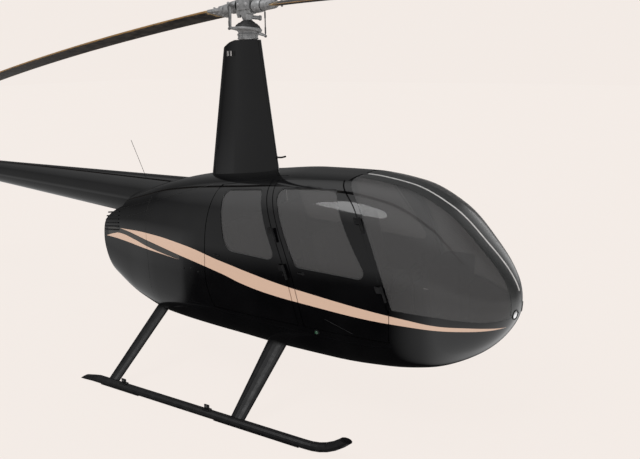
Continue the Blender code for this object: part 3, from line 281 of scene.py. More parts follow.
def on_skin(x, z, side, proud=0.0):
    """A point over the outer surface at a place in side view."""
    point = np.array([[x, side * skin_y(x, z), z]])
    _, normal = nearest_on_surface(point)
    return Vector(point[0] + normal[0] * proud), Vector(normal[0])


def roof_edge(x):
    """Half width of the roof panel in plan."""
    return ROOF_EDGE - ROOF_TAPER * x


# Mesh helpers

def to_frame(points):
    """From distances ahead of the mast to the frame."""
    return [(p[0] + MAST_X, p[1], p[2]) for p in points]


def mesh_of(name, points, faces):
    """Mesh in the frame with its faces turned outwards."""
    mesh = bpy.data.meshes.new(name)
    mesh.from_pydata(to_frame(points), [], faces)
    work = bmesh.new()
    work.from_mesh(mesh)
    bmesh.ops.recalc_face_normals(work, faces=work.faces)
    if work.calc_volume(signed=True) < 0:
        bmesh.ops.reverse_faces(work, faces=work.faces)
    work.to_mesh(mesh)
    work.free()
    return mesh


def piece(name, mesh, materials, body, slot, *nodes, angle=35):
    """A finished piece that rides on a body and stands for the nodes named."""
    made = bpy.data.objects.new(name, mesh)
    bpy.context.scene.collection.objects.link(made)
    for material in materials if isinstance(materials, (list, tuple)) else [materials]:
        if material.name not in [m.name for m in mesh.materials if m]:
            mesh.materials.append(material)
    if angle:
        mesh.shade_smooth()
        mesh.set_sharp_from_angle(angle=math.radians(angle))
    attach(made, body)
    if nodes:
        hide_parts(*nodes)
    return made


def built(name, shapes, finish, slot="gloss_black", *nodes, body="airframe", angle=35):
    """A piece made of several shapes in one finish."""
    return piece(name, mesh_of(name, *merged(shapes)), FINISH[finish], body, slot, *nodes, angle=angle)


def panel(name, wall, node, keep, remove=(), inside="trim", body="airframe", depth=SKIN):
    """A painted piece of the body's wall, lined on its inner face."""
    mesh = carve(name, wall, keep, remove)
    smooth_skin(mesh, 0.0, depth, 1)
    piece(name, mesh, [FINISH["paint"], FINISH[inside]], body, "gloss_black", node, angle=0)


def merged(shapes):
    """Points and faces of several shapes together."""
    points = []
    faces = []
    for shape_points, shape_faces in shapes:
        base = len(points)
        points += [tuple(p) for p in shape_points]
        faces += [tuple(base + i for i in face) for face in shape_faces]
    return points, faces


def circle(sides, radius=1.0, start=0.0):
    """Points around a circle. Start turns them by that share of one side."""
    angles = [2 * math.pi * (k + start) / sides for k in range(sides)]
    return [(radius * math.cos(a), radius * math.sin(a)) for a in angles]


def loft(rings):
    """Points and faces of a closed shape through equal rings, with flat ends."""
    points = [tuple(p) for ring in rings for p in ring]
    count = len(rings[0])
    faces = []
    for r in range(len(rings) - 1):
        for i in range(count):
            j = (i + 1) % count
            faces.append((r * count + i, r * count + j, (r + 1) * count + j, (r + 1) * count + i))
    faces.append(tuple(range(count)))
    faces.append(tuple(range((len(rings) - 1) * count, len(rings) * count)))
    return points, faces


def prism_y(outline, y_at, y_far):
    """Side view outline (x, z) drawn across."""
    return loft([[(x, y_at(x), z) for x, z in outline], [(x, y_far, z) for x, z in outline]])


def slab(low, high):
    """Box between two corners."""
    ring = ((low[0], low[1]), (high[0], low[1]), (high[0], high[1]), (low[0], high[1]))
    return loft([[(x, y, low[2]) for x, y in ring], [(x, y, high[2]) for x, y in ring]])


def soft_slab(low, high, round_by, steps=3):
    """Box with rounded edges all over."""
    work = bmesh.new()
    size = [h - l for l, h in zip(low, high)]
    centre = [(l + h) / 2 for l, h in zip(low, high)]
    matrix = Matrix.Translation(centre) @ Matrix.Diagonal((*size, 1))
    bmesh.ops.create_cube(work, size=1, matrix=matrix)
    bmesh.ops.bevel(work, geom=work.edges[:], offset=round_by, segments=steps, profile=0.6, affect="EDGES")
    points = [tuple(v.co) for v in work.verts]
    faces = [tuple(v.index for v in face.verts) for face in work.faces]
    work.free()
    return points, faces


def lathe(profile, start, end, sides=32):
    """Turned shape about the line from start to end, from (distance along, radius) pairs."""
    start = Vector(start)
    along = (Vector(end) - start).normalized()
    turn = along.to_track_quat("Z", "Y")
    return loft([[start + along * distance + turn @ Vector((x, y, 0)) for x, y in circle(sides, radius)]
                 for distance, radius in profile])


def rod(start, end, radius, sides=16, end_radius=None):
    """Round bar between two points, with a small round at its rims."""
    long = (Vector(end) - Vector(start)).length
    far = radius if end_radius is None else end_radius
    rim = min(radius * 0.15, long * 0.2)
    profile = [(0, radius - rim), (rim, radius), (long - rim, far), (long, far - rim)]
    return lathe(profile, start, end, sides)


def bolt(at, way, radius, height):
    """Hexagon bolt head on a washer."""
    at = Vector(at)
    way = Vector(way).normalized()
    washer = lathe([(0, radius * 1.35), (height * 0.25, radius * 1.35)], at, at + way, 20)
    head = lathe([(height * 0.25, radius), (height * 0.9, radius), (height, radius * 0.82)], at, at + way, 6)
    return merged([washer, head])


def ball(at, radius, rows=8, sides=16):
    """Round ball."""
    profile = []
    for k in range(1, rows):
        a = math.pi * k / rows
        profile.append((radius - radius * math.cos(a), radius * math.sin(a)))
    at = Vector(at)
    return lathe(profile, at - Vector((0, 0, radius)), at, sides)


def pipe(path, radius, sides=12, closed=False):
    """Round tube along a path."""
    path = [Vector(p) for p in path]
    rings = []
    turn = None
    count = len(path)
    for i, centre in enumerate(path):
        after = path[(i + 1) % count] if closed else path[min(i + 1, count - 1)]
        along = (after - path[i - 1 if closed else max(i - 1, 0)]).normalized()
        if turn is None:
            turn = along.to_track_quat("Z", "Y")
        else:
            turn = (turn @ Vector((0, 0, 1))).rotation_difference(along) @ turn
        rings.append([centre + turn @ Vector((x, y, 0)) for x, y in circle(sides, radius)])
    points, faces = loft(rings)
    if not closed:
        return points, faces
    faces = faces[:-2]
    last = (count - 1) * sides
    spin = min(range(sides), key=lambda k: (rings[0][k] - rings[-1][0]).length)
    for k in range(sides):
        n = (k + 1) % sides
        faces.append((last + k, last + n, (n + spin) % sides, (k + spin) % sides))
    return points, faces


def moved(shape, matrix):
    """The same shape under a transform."""
    points, faces = shape
    return [matrix @ Vector(p) for p in points], faces


def about_mast(angle):
    """Turn about the main rotor's axis."""
    return Matrix.Rotation(angle, 4, "Z")


def cutter(shape):
    """Temporary object to cut with."""
    made = bpy.data.objects.new("cutter", mesh_of("cutter", *shape))
    bpy.context.scene.collection.objects.link(made)
    return made


def carve(name, shape, keep=(), remove=(), add=()):
    """Mesh of a shape inside every keep shape, without the remove shapes and with the add shapes."""
    made = cutter(shape)
    tools = []
    for operation, shapes in (("INTERSECT", keep), ("DIFFERENCE", remove), ("UNION", add)):
        for other in shapes:
            tool = cutter(other)
            step = made.modifiers.new(operation, "BOOLEAN")
            step.operation = operation
            step.solver = "EXACT"
            step.object = tool
            tools.append(tool)
    bpy.context.view_layer.update()
    done = made.evaluated_get(bpy.context.evaluated_depsgraph_get())
    mesh = bpy.data.meshes.new_from_object(done)
    mesh.name = name
    for old in [made] + tools:
        bpy.data.objects.remove(old, do_unlink=True)
    if not mesh.polygons:
        raise RuntimeError(f"{name} has no faces left")
    return mesh


def smooth_skin(mesh, outer, inner, inner_slot=None):
    """Give faces that lie on the body's surface its true normals, and the inner face its own material."""
    flat = np.zeros(len(mesh.vertices) * 3)
    mesh.vertices.foreach_get("co", flat)
    points = flat.reshape(-1, 3) - np.array([MAST_X, 0, 0])
    depth, normal = nearest_on_surface(points)
    wanted = [(0.0, 0.0, 0.0)] * len(mesh.loops)
    layers = ((outer, 1.0), (inner, -1.0))
    near = {level: np.abs(depth - level) < ON_SKIN for level, _ in layers}
    for face in mesh.polygons:
        for level, sign in layers:
            if not all(near[level][v] for v in face.vertices):
                continue
            middle = normal[face.vertices[0]]
            if Vector(middle).dot(face.normal) * sign < 0.5:
                continue
            for loop in face.loop_indices:
                wanted[loop] = tuple(sign * normal[mesh.loops[loop].vertex_index])
            if sign < 0 and inner_slot is not None:
                face.material_index = inner_slot
    mesh.shade_smooth()
    mesh.set_sharp_from_angle(angle=math.radians(30))
    mesh.normals_split_custom_set(wanted)


def patch(x_fore, x_aft, low, high, outer, inner, spacing=0.03):
    """Solid piece of the body wall between two stations and two angles, as deep as outer to inner."""
    s_fore = float(place_of(x_fore))
    s_aft = float(place_of(x_aft))
    along = max(int((x_fore - x_aft) / spacing), 6)
    around = max(int(abs(high - low) * 0.62 / spacing), 6)
    s, angle = np.meshgrid(np.linspace(s_fore, s_aft, along + 1), np.linspace(low, high, around + 1),
                           indexing="ij")
    points = surface(s, angle)
    normal = surface_normal(s, angle)
    rows = along + 1
    columns = around + 1
    layers = [(points - normal * depth).reshape(-1, 3) for depth in (outer, inner)]
    faces = []
    for layer in range(2):
        base = layer * rows * columns
        for r in range(along):
            for c in range(around):
                a = base + r * columns + c
                faces.append((a, a + 1, a + columns + 1, a + columns))
    rim = [(0, c) for c in range(columns)] + [(r, columns - 1) for r in range(1, rows)]
    rim += [(rows - 1, c) for c in range(columns - 2, -1, -1)] + [(r, 0) for r in range(rows - 2, 0, -1)]
    rim = [r * columns + c for r, c in rim]
    inside = rows * columns
    for i, a in enumerate(rim):
        b = rim[(i + 1) % len(rim)]
        faces.append((a, b, inside + b, inside + a))
    return [tuple(p) for p in np.concatenate(layers)], faces


def nose_cup(x_aft, outer, inner, rings=40, around=96):
    """Closed wall of the whole nose ahead of a station."""
    marks = np.linspace(0.0, float(place_of(x_aft)), rings + 1)[1:]
    angles = np.linspace(0, 2 * math.pi, around, endpoint=False)
    s, angle = np.meshgrid(marks, angles, indexing="ij")
    points = surface(s, angle)
    normal = surface_normal(s, angle)
    everything = []
    faces = []
    for depth in (outer, inner):
        base = len(everything)
        everything.append((NOSE_X - depth, 0.0, NOSE_Z))
        everything += [tuple(p) for p in (points - normal * depth).reshape(-1, 3)]
        for k in range(around):
            faces.append((base, base + 1 + k, base + 1 + (k + 1) % around))
        for r in range(rings - 1):
            here = base + 1 + r * around
            for k in range(around):
                n = (k + 1) % around
                faces.append((here + k, here + around + k, here + around + n, here + n))
    size = 1 + rings * around
    last = 1 + (rings - 1) * around
    for k in range(around):
        n = (k + 1) % around
        faces.append((last + k, last + n, size + last + n, size + last + k))
    return everything, faces


def half_angles(side, low, high):
    """Angles of one side, measured from level outwards, turned to that side."""
    if side == LEFT:
        return low, high
    return math.pi - high, math.pi - low


def side_region(outline, side):
    """Region of one side, from the roof panel's edge outwards."""
    return prism_y(outline, lambda x: side * roof_edge(x), side * FAR)


# Materials

def new_material(name, color, roughness, metallic=0.0, **sockets):
    """Principled material with plain values on its own sockets."""
    made = bpy.data.materials.new(name)
    made.use_nodes = True
    shader = made.node_tree.nodes["Principled BSDF"]
    shader.inputs["Base Color"].default_value = (*color, 1.0)
    shader.inputs["Roughness"].default_value = roughness
    shader.inputs["Metallic"].default_value = metallic
    for socket, value in sockets.items():
        shader.inputs[socket.replace("_", " ")].default_value = value
    return made


class Nodes:
    """Small helper that adds shader nodes to one material, or to the sky."""

    def __init__(self, owner, place="Object"):
        self.tree = owner.node_tree
        self.shader = self.tree.nodes.get("Principled BSDF")
        self.place = self.tree.nodes.new("ShaderNodeTexCoord").outputs[place]

    def feed(self, socket, value):
        """Link a socket, or set a plain number or colour."""
        if isinstance(value, bpy.types.NodeSocket):
            self.tree.links.new(value, socket)
        else:
            socket.default_value = value

    def math(self, operation, a, b=0.0):
        """Math node."""
        node = self.tree.nodes.new("ShaderNodeMath")
        node.operation = operation
        self.feed(node.inputs[0], a)
        self.feed(node.inputs[1], b)
        return node.outputs[0]

    def split(self, vector):
        """X, Y and Z of a vector."""
        node = self.tree.nodes.new("ShaderNodeSeparateXYZ")
        self.feed(node.inputs[0], vector)
        return node.outputs

    def noise(self, scale, detail=2.0):
        """Noise texture's value."""
        node = self.tree.nodes.new("ShaderNodeTexNoise")
        node.inputs["Scale"].default_value = scale
        node.inputs["Detail"].default_value = detail
        node.inputs["Roughness"].default_value = 0.5
        self.feed(node.inputs["Vector"], self.place)
        return node.outputs["Fac"]

    def cells(self, scale):
        """Distance in a texture of small cells."""
        node = self.tree.nodes.new("ShaderNodeTexVoronoi")
        node.inputs["Scale"].default_value = scale
        self.feed(node.inputs["Vector"], self.place)
        return node.outputs["Distance"]

    def ramp(self, value, low, high, start=0.0, end=1.0):
        """Value mapped from low..high to start..end, held at the ends."""
        node = self.tree.nodes.new("ShaderNodeMapRange")
        self.feed(node.inputs["Value"], value)
        for socket, number in (("From Min", low), ("From Max", high), ("To Min", start), ("To Max", end)):
            node.inputs[socket].default_value = number
        return node.outputs["Result"]

    def mix(self, factor, first, second):
        """Mix of two colours."""
        node = self.tree.nodes.new("ShaderNodeMix")
        node.data_type = "RGBA"
        self.feed(node.inputs["Factor"], factor)
        for socket, value in ((node.inputs["A"], first), (node.inputs["B"], second)):
            if not isinstance(value, bpy.types.NodeSocket) and len(value) == 3:
                value = (*value, 1.0)
            self.feed(self.colour_socket(node, socket), value)
        return [o for o in node.outputs if o.type == "RGBA"][0]

    def colour_socket(self, node, socket):
        """The colour socket of a Mix node that has one name for several kinds."""
        return [i for i in node.inputs if i.name == socket.name and i.type == "RGBA"][0]

    def bump(self, height, strength, distance):
        """Bump into the shader's normal."""
        node = self.tree.nodes.new("ShaderNodeBump")
        node.inputs["Strength"].default_value = strength
        node.inputs["Distance"].default_value = distance
        self.feed(node.inputs["Height"], height)
        self.tree.links.new(node.outputs["Normal"], self.shader.inputs["Normal"])

    def curve(self, value, points, x_range, z_range):
        """Float curve through side view points, as a height for a distance ahead of the mast."""
        node = self.tree.nodes.new("ShaderNodeFloatCurve")
        line = node.mapping.curves[0]
        x_low, x_high = x_range
        z_low, z_high = z_range
        spots = [((x - x_low) / (x_high - x_low), (z - z_low) / (z_high - z_low)) for x, z in points]
        while len(line.points) < len(spots):
            line.points.new(0.5, 0.5)
        for spot, place in zip(line.points, sorted(spots)):
            spot.location = place
        node.mapping.update()
        self.feed(node.inputs["Value"], self.ramp(value, x_low, x_high))
        return self.ramp(node.outputs[0], 0.0, 1.0, z_low, z_high)

    def colour(self, value):
        """Feed the shader's base colour."""
        self.feed(self.shader.inputs["Base Color"], value)

    def rough(self, value):
        """Feed the shader's roughness."""
        self.feed(self.shader.inputs["Roughness"], value)


def body_paint(settings):
    """Gloss black with a light stripe, its thin branch and a bronze band between them."""
    made = new_material("body_paint", (0.002, 0.002, 0.0023), 0.07, IOR=1.42)
    n = Nodes(made)
    x, _, z = n.split(n.place)
    ahead = n.math("SUBTRACT", x, MAST_X)
    x_range = (-1.45, 2.45)
    z_range = (0.80, 1.30)

    def between(low, high, start, end):
        inside = n.math("MULTIPLY", n.math("GREATER_THAN", z, low), n.math("LESS_THAN", z, high))
        length = n.math("MULTIPLY", n.math("GREATER_THAN", ahead, start), n.math("LESS_THAN", ahead, end))
        return n.math("MULTIPLY", inside, length)

    top = n.curve(ahead, STRIPE_TOP, x_range, z_range)
    low = n.curve(ahead, STRIPE_LOW, x_range, z_range)
    branch_top = n.curve(ahead, BRANCH_TOP, x_range, z_range)
    branch_low = n.curve(ahead, BRANCH_LOW, x_range, z_range)
    stripe = between(low, top, STRIPE_TOP[1][0], STRIPE_TOP[-1][0])
    branch = between(branch_low, branch_top, BRANCH_TOP[1][0], BRANCH_TOP[-1][0])
    band = between(n.math("ADD", branch_top, 0.004), n.math("SUBTRACT", low, 0.006), -1.40, -0.36)
    light = n.math("MAXIMUM", stripe, branch)
    cloud = n.ramp(n.noise(3.0), 0.3, 0.7)
    black = n.mix(cloud, (0.0015, 0.0015, 0.0018), (0.003, 0.003, 0.0034))
    with_band = n.mix(band, black, tuple(settings.band_colour))
    n.colour(n.mix(light, with_band, tuple(settings.stripe_colour)))
    n.rough(n.ramp(n.noise(9.0, 4.0), 0.3, 0.7, 0.05, 0.10))
    n.bump(n.noise(260.0, 1.0), 0.02, 0.001)
    return made


def textured(name, color, darker, roughness, scale, strength, depth, metallic=0.0, cells=False, **sockets):
    """A finish with mottled colour, uneven roughness and a fine grain."""
    made = new_material(name, color, roughness, metallic, **sockets)
    n = Nodes(made)
    n.colour(n.mix(n.ramp(n.noise(scale * 0.12, 4.0), 0.35, 0.65), color, darker))
    n.rough(n.ramp(n.noise(scale * 0.2, 3.0), 0.3, 0.7, roughness * 0.8, min(roughness * 1.2, 1.0)))
    n.bump(n.cells(scale) if cells else n.noise(scale, 3.0), strength, depth)
    return made


def blade_paint():
    """Dark blades with worn ochre edges and a ragged ochre edge at the root."""
    made = new_material("blade_finish", (0.022, 0.020, 0.019), 0.45)
    n = Nodes(made)
    shift = n.tree.nodes.new("ShaderNodeMapping")
    shift.vector_type = "TEXTURE"
    shift.inputs["Location"].default_value = (MAST_X, 0, 0)
    shift.inputs["Rotation"].default_value = (0, 0, BLADE_AZIMUTH)
    n.feed(shift.inputs["Vector"], n.place)
    x, y, _ = n.split(shift.outputs[0])
    side = n.math("SIGN", x)
    chord = n.math("MULTIPLY", y, side)
    reach = n.math("ABSOLUTE", x)
    streak = n.ramp(n.noise(14.0, 5.0), 0.35, 0.65)
    dark = n.mix(streak, (0.017, 0.016, 0.016), (0.036, 0.031, 0.027))
    wander = n.ramp(n.noise(9.0, 3.0), 0.3, 0.7, 0.0, 0.006)
    front = n.math("GREATER_THAN", n.math("ADD", chord, wander), 0.25 * BLADE_CHORD - 0.003)
    back = n.math("LESS_THAN", n.math("SUBTRACT", chord, wander), -0.75 * BLADE_CHORD + 0.004)
    edged = n.mix(n.math("MAXIMUM", front, back), dark, (0.30, 0.17, 0.055))
    ragged = n.ramp(n.noise(34.0, 3.0), 0.3, 0.7, 0.425, 0.463)
    n.colour(n.mix(n.math("LESS_THAN", reach, ragged), edged, (0.34, 0.24, 0.12)))
    n.rough(n.ramp(streak, 0.0, 1.0, 0.35, 0.55))
    n.bump(n.noise(180.0, 2.0), 0.05, 0.001)
    return made


def tail_blade_paint():
    """Satin black tail rotor with a pale band near each tip."""
    made = new_material("tail_blade_paint", (0.02, 0.02, 0.02), 0.42)
    n = Nodes(made)
    x, _, z = n.split(n.place)
    ahead = n.math("SUBTRACT", x, TAIL_AXIS[0])
    above_axis = n.math("SUBTRACT", z, TAIL_AXIS[2])
    reach = n.math("SQRT", n.math("ADD", n.math("POWER", ahead, 2.0), n.math("POWER", above_axis, 2.0)))
    band = n.math("MULTIPLY", n.math("GREATER_THAN", reach, 0.56), n.math("LESS_THAN", reach, 0.66))
    worn = n.mix(n.ramp(n.noise(30.0, 4.0), 0.35, 0.65), (0.020, 0.020, 0.021), (0.034, 0.033, 0.032))
    n.colour(n.mix(band, worn, (0.62, 0.60, 0.57)))
    n.rough(n.ramp(n.noise(12.0, 3.0), 0.3, 0.7, 0.36, 0.50))
    n.bump(n.noise(200.0, 2.0), 0.04, 0.001)
    return made


# Mottled finishes: material's name, colour, second colour, roughness, scale, strength and depth of the
# grain, and how metallic it is
TEXTURED = {
    "trim": ("cabin_trim", (0.10, 0.10, 0.105), (0.085, 0.085, 0.09), 0.62, 420, 0.25, 0.001),
    "headliner": ("headliner", (0.20, 0.195, 0.19), (0.17, 0.165, 0.16), 0.9, 700, 0.3, 0.001),
    "carpet": ("carpet_pile", (0.085, 0.085, 0.09), (0.05, 0.05, 0.055), 0.95, 900, 0.8, 0.003),
    "leather": ("seat_leather", (0.26, 0.25, 0.24), (0.20, 0.19, 0.185), 0.50, 330, 0.35, 0.001),
    "cast": ("cast_alloy", (0.33, 0.335, 0.34), (0.20, 0.205, 0.21), 0.42, 240, 0.30, 0.0015, 0.35),
    "machined": ("machined_alloy", (0.50, 0.50, 0.51), (0.40, 0.40, 0.41), 0.26, 90, 0.05, 0.0005, 0.5),
    "steel": ("dark_steel", (0.12, 0.12, 0.12), (0.07, 0.07, 0.072), 0.38, 160, 0.10, 0.0005, 0.5),
    "rubber": ("black_rubber", (0.008, 0.008, 0.0085), (0.012, 0.012, 0.0125), 0.62, 300, 0.25, 0.001),
    "satin": ("satin_black_paint", (0.004, 0.004, 0.0045), (0.009, 0.009, 0.0095), 0.34, 140, 0.10, 0.001),
    "engine": ("engine_casting", (0.16, 0.16, 0.16), (0.09, 0.09, 0.09), 0.55, 120, 0.4, 0.002, 0.7),
    "heat": ("heated_steel", (0.16, 0.12, 0.09), (0.09, 0.075, 0.065), 0.45, 80, 0.15, 0.001, 0.85),
    "lamp": ("lamp_lens", (0.75, 0.75, 0.76), (0.65, 0.65, 0.66), 0.12, 60, 0.05, 0.0005, 0.6),
    "red_lens": ("red_lens", (0.12, 0.008, 0.008), (0.08, 0.006, 0.006), 0.15, 60, 0.05, 0.0005),
    "green_lens": ("green_lens", (0.008, 0.06, 0.025), (0.006, 0.04, 0.02), 0.15, 60, 0.05, 0.0005),
    "dial": ("dial_glass", (0.02, 0.02, 0.022), (0.03, 0.03, 0.032), 0.10, 60, 0.02, 0.0005),
    # Dark grey for the bands beside the windshield post; on the far pane it is a painted reflection.
    "border": ("windshield_band_and_painted_reflection", (0.026, 0.027, 0.027), (0.020, 0.021, 0.021), 0.22, 300, 0.05, 0.0005),
    # Light grey: the rims of the mast slots, and a painted highlight along the windshield's centre post.
    "bright_trim_and_highlight": ("bright_trim_and_highlight", (0.72, 0.71, 0.70), (0.60, 0.59, 0.585), 0.30, 90, 0.05, 0.0005, 0.2),
    "seal": ("window_seal", (0.006, 0.006, 0.006), (0.010, 0.010, 0.010), 0.45, 300, 0.10, 0.0005),
}
CELLED = ("trim", "leather")
TEXTURED_IOR = {"satin": 1.25}


def make_materials(settings):
    """All finishes, by name."""
    glass = new_material("window_glass", tuple(settings.glass_colour), 0.03, IOR=1.40,
                         Alpha=settings.glass_alpha)
    g = Nodes(glass)
    g.rough(g.ramp(g.noise(6.0, 3.0), 0.3, 0.7, 0.02, 0.05))
    made = {"paint": body_paint(settings), "glass": glass}
    for name, values in TEXTURED.items():
        extra = {"IOR": TEXTURED_IOR[name]} if name in TEXTURED_IOR else {}
        made[name] = textured(*values, cells=name in CELLED, **extra)
    made.update(blade=blade_paint(), tail_blade=tail_blade_paint())
    return made


FINISH = {}

# Parked main rotor. Pairs of values are for the aft blade and the front blade
ROTOR_RADIUS = 5.03
BLADE_CHORD = 0.257
BLADE_THICK = 0.030
BLADE_AZIMUTH = math.radians(171.5)
HUB_Z = 3.209
BLADE_ROOTS_Z = (3.209, 3.184)
BLADE_SLOPES = (0.102, -0.054)
BLADE_SAGS = (0.0089, 0.0206)
BLADE_PITCH = math.radians(8.4)
BLADE_TWIST = math.radians(-0.54)
BLADE_START = 0.42
TEETER = 0.060
LINK_RADIUS = 0.184
LINK_AZIMUTH = math.radians(79.2)
LINK_FEET_Z = (3.018, 2.961)
LINK_HEADS_Z = (3.194, 3.179)
LINK_DROP = 0.018
HOUSING_TOP_Z = 2.980
PLATE_Z = 3.012
PLATE_TILT = math.radians(6.0)
BRACE = {"azimuth": math.radians(63.5), "out": 0.150, "z": (3.016, 3.186), "radii": (0.007, 0.0145)}

# Boom and tail values, as on the solid model
BOOM_START_X = -0.72
BOOM_END_X = -5.70
BOOM_LINE = (1.475, -1.5, -0.029)
BOOM_WALL = 0.015
BOOM_RADII = ((-0.72, 0.235), (-1.50, 0.203), (-2.50, 0.163), (-3.60, 0.120), (-4.60, 0.088), (-5.70, 0.070))
BOOM_RADIUS = Line([-p[0] for p in BOOM_RADII], [p[1] for p in BOOM_RADII])
TAIL_LEAN = math.radians(25)


def boom_z(x):
    """Height of the tail boom's centre line."""
    height, at, slope = BOOM_LINE
    return height + slope * (x - at)


def tube_x(stations, sides):
    """Shape through upright circles, given as (x, z, radius)."""
    return loft([[(x, y, z + up) for y, up in circle(sides, radius)] for x, z, radius in stations])


def boom_shape(grow, start_x, end_x, sides=64, steps=40):
    """Tail boom as a tapered shape."""
    places = np.linspace(start_x, end_x, steps + 1)
    return tube_x([(x, boom_z(x), float(BOOM_RADIUS(-x)) + grow) for x in places], sides)


# Body panels

def make_body_panels():
    """Nose, tub, roof, side skins, cowls and posts, with smooth walls."""
    nose = [(NOSE_SPLIT_X + SEAT_GAP, LOW_Z), (NOSE_SPLIT_X + SEAT_GAP, WINDSHIELD_SILL[0][1] - SEAT_GAP)]
    nose += [(x, z - SEAT_GAP) for x, z in smooth_line(WINDSHIELD_SILL[1:4], 12)]
    nose += [(WINDSHIELD_SILL[-1][0], WINDSHIELD_SILL[-1][1] - SEAT_GAP), (WINDSHIELD_SILL[-1][0], LOW_Z)]
    cup = nose_cup(NOSE_SPLIT_X - 0.04, 0.0, SKIN)
    panel("nose_panel", cup, "nose_shell", [prism_y(nose, lambda x: -FAR, FAR)])

    wall = patch(NOSE_SPLIT_X + 0.04, BODY_SPLIT_X - 0.04, -math.pi - 0.02, 0.02, 0.0, SKIN, 0.035)
    box = slab((BODY_SPLIT_X, -FAR, LOW_Z), (NOSE_SPLIT_X, FAR, SILL_Z))
    panel("belly_panel", wall, "cabin_tub", [box])

    wall = patch(WINDSHIELD_TOP_X + 0.04, BODY_SPLIT_X - 0.04, 0.35, math.pi - 0.35, 0.0, SKIN, 0.035)
    roof = [(BODY_SPLIT_X, 1.30), (WINDSHIELD_TOP_X, 1.30), (WINDSHIELD_TOP_X, HIGH_Z),
            (BODY_SPLIT_X, HIGH_Z)]
    near = [(x, -roof_edge(x) + SEAT_GAP, z) for x, z in roof]
    far = [(x, roof_edge(x) - SEAT_GAP, z) for x, z in roof]
    hole = boom_shape(SEAT_GAP, BOOM_START_X + 0.01, -2.4, 64, 10)
    panel("roof_panel", wall, "roof_shell", [loft([near, far])], [hole], "headliner")

    for word, side in SIDES.items():
        low, high = half_angles(side, -0.75, 1.35)
        edge = above(shift_line(AFT_LINE, -DOOR_GAP), SILL_Z + SEAT_GAP)
        outline = [(BODY_SPLIT_X, SILL_Z + SEAT_GAP), (BODY_SPLIT_X, HIGH_Z), (edge[-1][0], HIGH_Z)]
        outline += edge[::-1]
        wall = patch(0.10, BODY_SPLIT_X - 0.03, low, high, 0.0, SKIN)
        panel(f"side_panel_{word}", wall, f"side_skin_{word}", [side_region(outline, side)])

        low, high = half_angles(side, -math.pi / 2 - 0.03, math.pi / 2 + 0.03)
        outline = [AFT_EDGE[0]] + smooth_line(AFT_EDGE[1:12], 60) + list(AFT_EDGE[12:])
        outline += [(BODY_SPLIT_X - SEAT_GAP, HIGH_Z), (BODY_SPLIT_X - SEAT_GAP, AFT_EDGE[0][1])]
        region = prism_y(outline, lambda x: side * SEAT_GAP / 2, side * FAR)
        wall = patch(BODY_SPLIT_X + 0.03, AFT_X - 0.05, low, high, 0.0, SKIN)
        panel(f"aft_panel_{word}", wall, f"aft_cowl_{word}", [region], [hole])

        base = WINDSHIELD_SILL[0][1] + SEAT_GAP
        front = above(shift_line(POST_LINE, -SEAT_GAP), base)
        back = above(shift_line(POST_LINE, -POST_FRONT_WIDTH), base)
        low, high = half_angles(side, -0.25, 1.45)
        wall = patch(1.72, 0.98, low, high, 0.0, SKIN, 0.025)
        panel(f"windshield_post_{word}", wall, f"post_front_{word}", [side_region(back + front[::-1], side)])

        front = above(shift_line(MIDDLE_LINE, POST_MIDDLE_HALF), SILL_Z + SEAT_GAP)
        back = above(shift_line(MIDDLE_LINE, -POST_MIDDLE_HALF), SILL_Z + SEAT_GAP)
        low, high = half_angles(side, -0.75, 1.40)
        wall = patch(0.96, 0.36, low, high, 0.0, SKIN, 0.025)
        panel(f"door_post_{word}", wall, f"post_middle_{word}", [side_region(back + front[::-1], side)])


# Bands along the windshield: name, sides, aft and low ends, height above the skin, finish
WINDSHIELD_BANDS = (
    # Painted highlight: a light grey strip along the centre post, where the gloss post catches the light.
    ("painted_highlight_strip", -0.011, 0.012, 1.14, 1.09, 0.0022, "bright_trim_and_highlight"),
    # Dark grey bands on the glass beside the post: the near one a dark band by the post, the far one a
    # painted reflection of the far pane.
    ("border_right", -0.160, -0.021, 1.14, 0.945, 0.0008, "border"),
    ("far_pane_painted_reflection", 0.021, 0.160, 1.14, 0.945, 0.0008, "border"))


def make_windshield():
    """Two wrapped panes and the post between them, with a light grey painted highlight along the post and
    dark grey bands beside it; the far band is a painted reflection of the far pane.
    """
    inset = (WINDSHIELD_TOP_X + SEAT_GAP, -CENTRE_POST_HALF, WINDSHIELD_SILL[-1][1] + SEAT_GAP)
    box = slab(inset, (NOSE_X + 0.1, CENTRE_POST_HALF, HIGH_Z))
    deep = 0.030
    cup = nose_cup(WINDSHIELD_TOP_X - 0.05, 0.0, deep, 60, 144)
    panel("windshield_strip", cup, "windshield_post", [box], depth=deep)
    for name, y_low, y_high, x_low, z_low, proud, finish in WINDSHIELD_BANDS:
        region = [slab((x_low, y_low, z_low), (NOSE_X + 0.1, y_high, HIGH_Z))]
        mesh = carve("band", nose_cup(WINDSHIELD_TOP_X - 0.05, -proud, 0.0005, 60, 144), region)
        smooth_skin(mesh, -proud, 0.0005)
        piece(f"windshield_{name}", mesh, FINISH[finish], "airframe", "gloss_black", angle=0)
    sill = smooth_line(WINDSHIELD_SILL[1:4], 12) + [WINDSHIELD_SILL[-1]]
    for word, side in SIDES.items():
        top_x = WINDSHIELD_TOP_X + SEAT_GAP
        outline = [(max(x, top_x), z) for x, z in above(POST_LINE, WINDSHIELD_SILL[0][1])]
        outline += [(top_x, HIGH_Z), (WINDSHIELD_SILL[-1][0], HIGH_Z)] + sill[::-1]
        start = side * (CENTRE_POST_HALF + SEAT_GAP)
        region = prism_y(outline, lambda x: start, side * FAR)
        outer, inner = 0.001, 0.001 + WINDSHIELD_THICK
        mesh = carve("pane", nose_cup(WINDSHIELD_TOP_X - 0.05, outer, inner, 60, 144), [region])
        smooth_skin(mesh, outer, inner)
        piece(f"windshield_pane_{word}", mesh, FINISH["glass"], "airframe", "tinted_glass",
              f"windshield_{word}", angle=0)


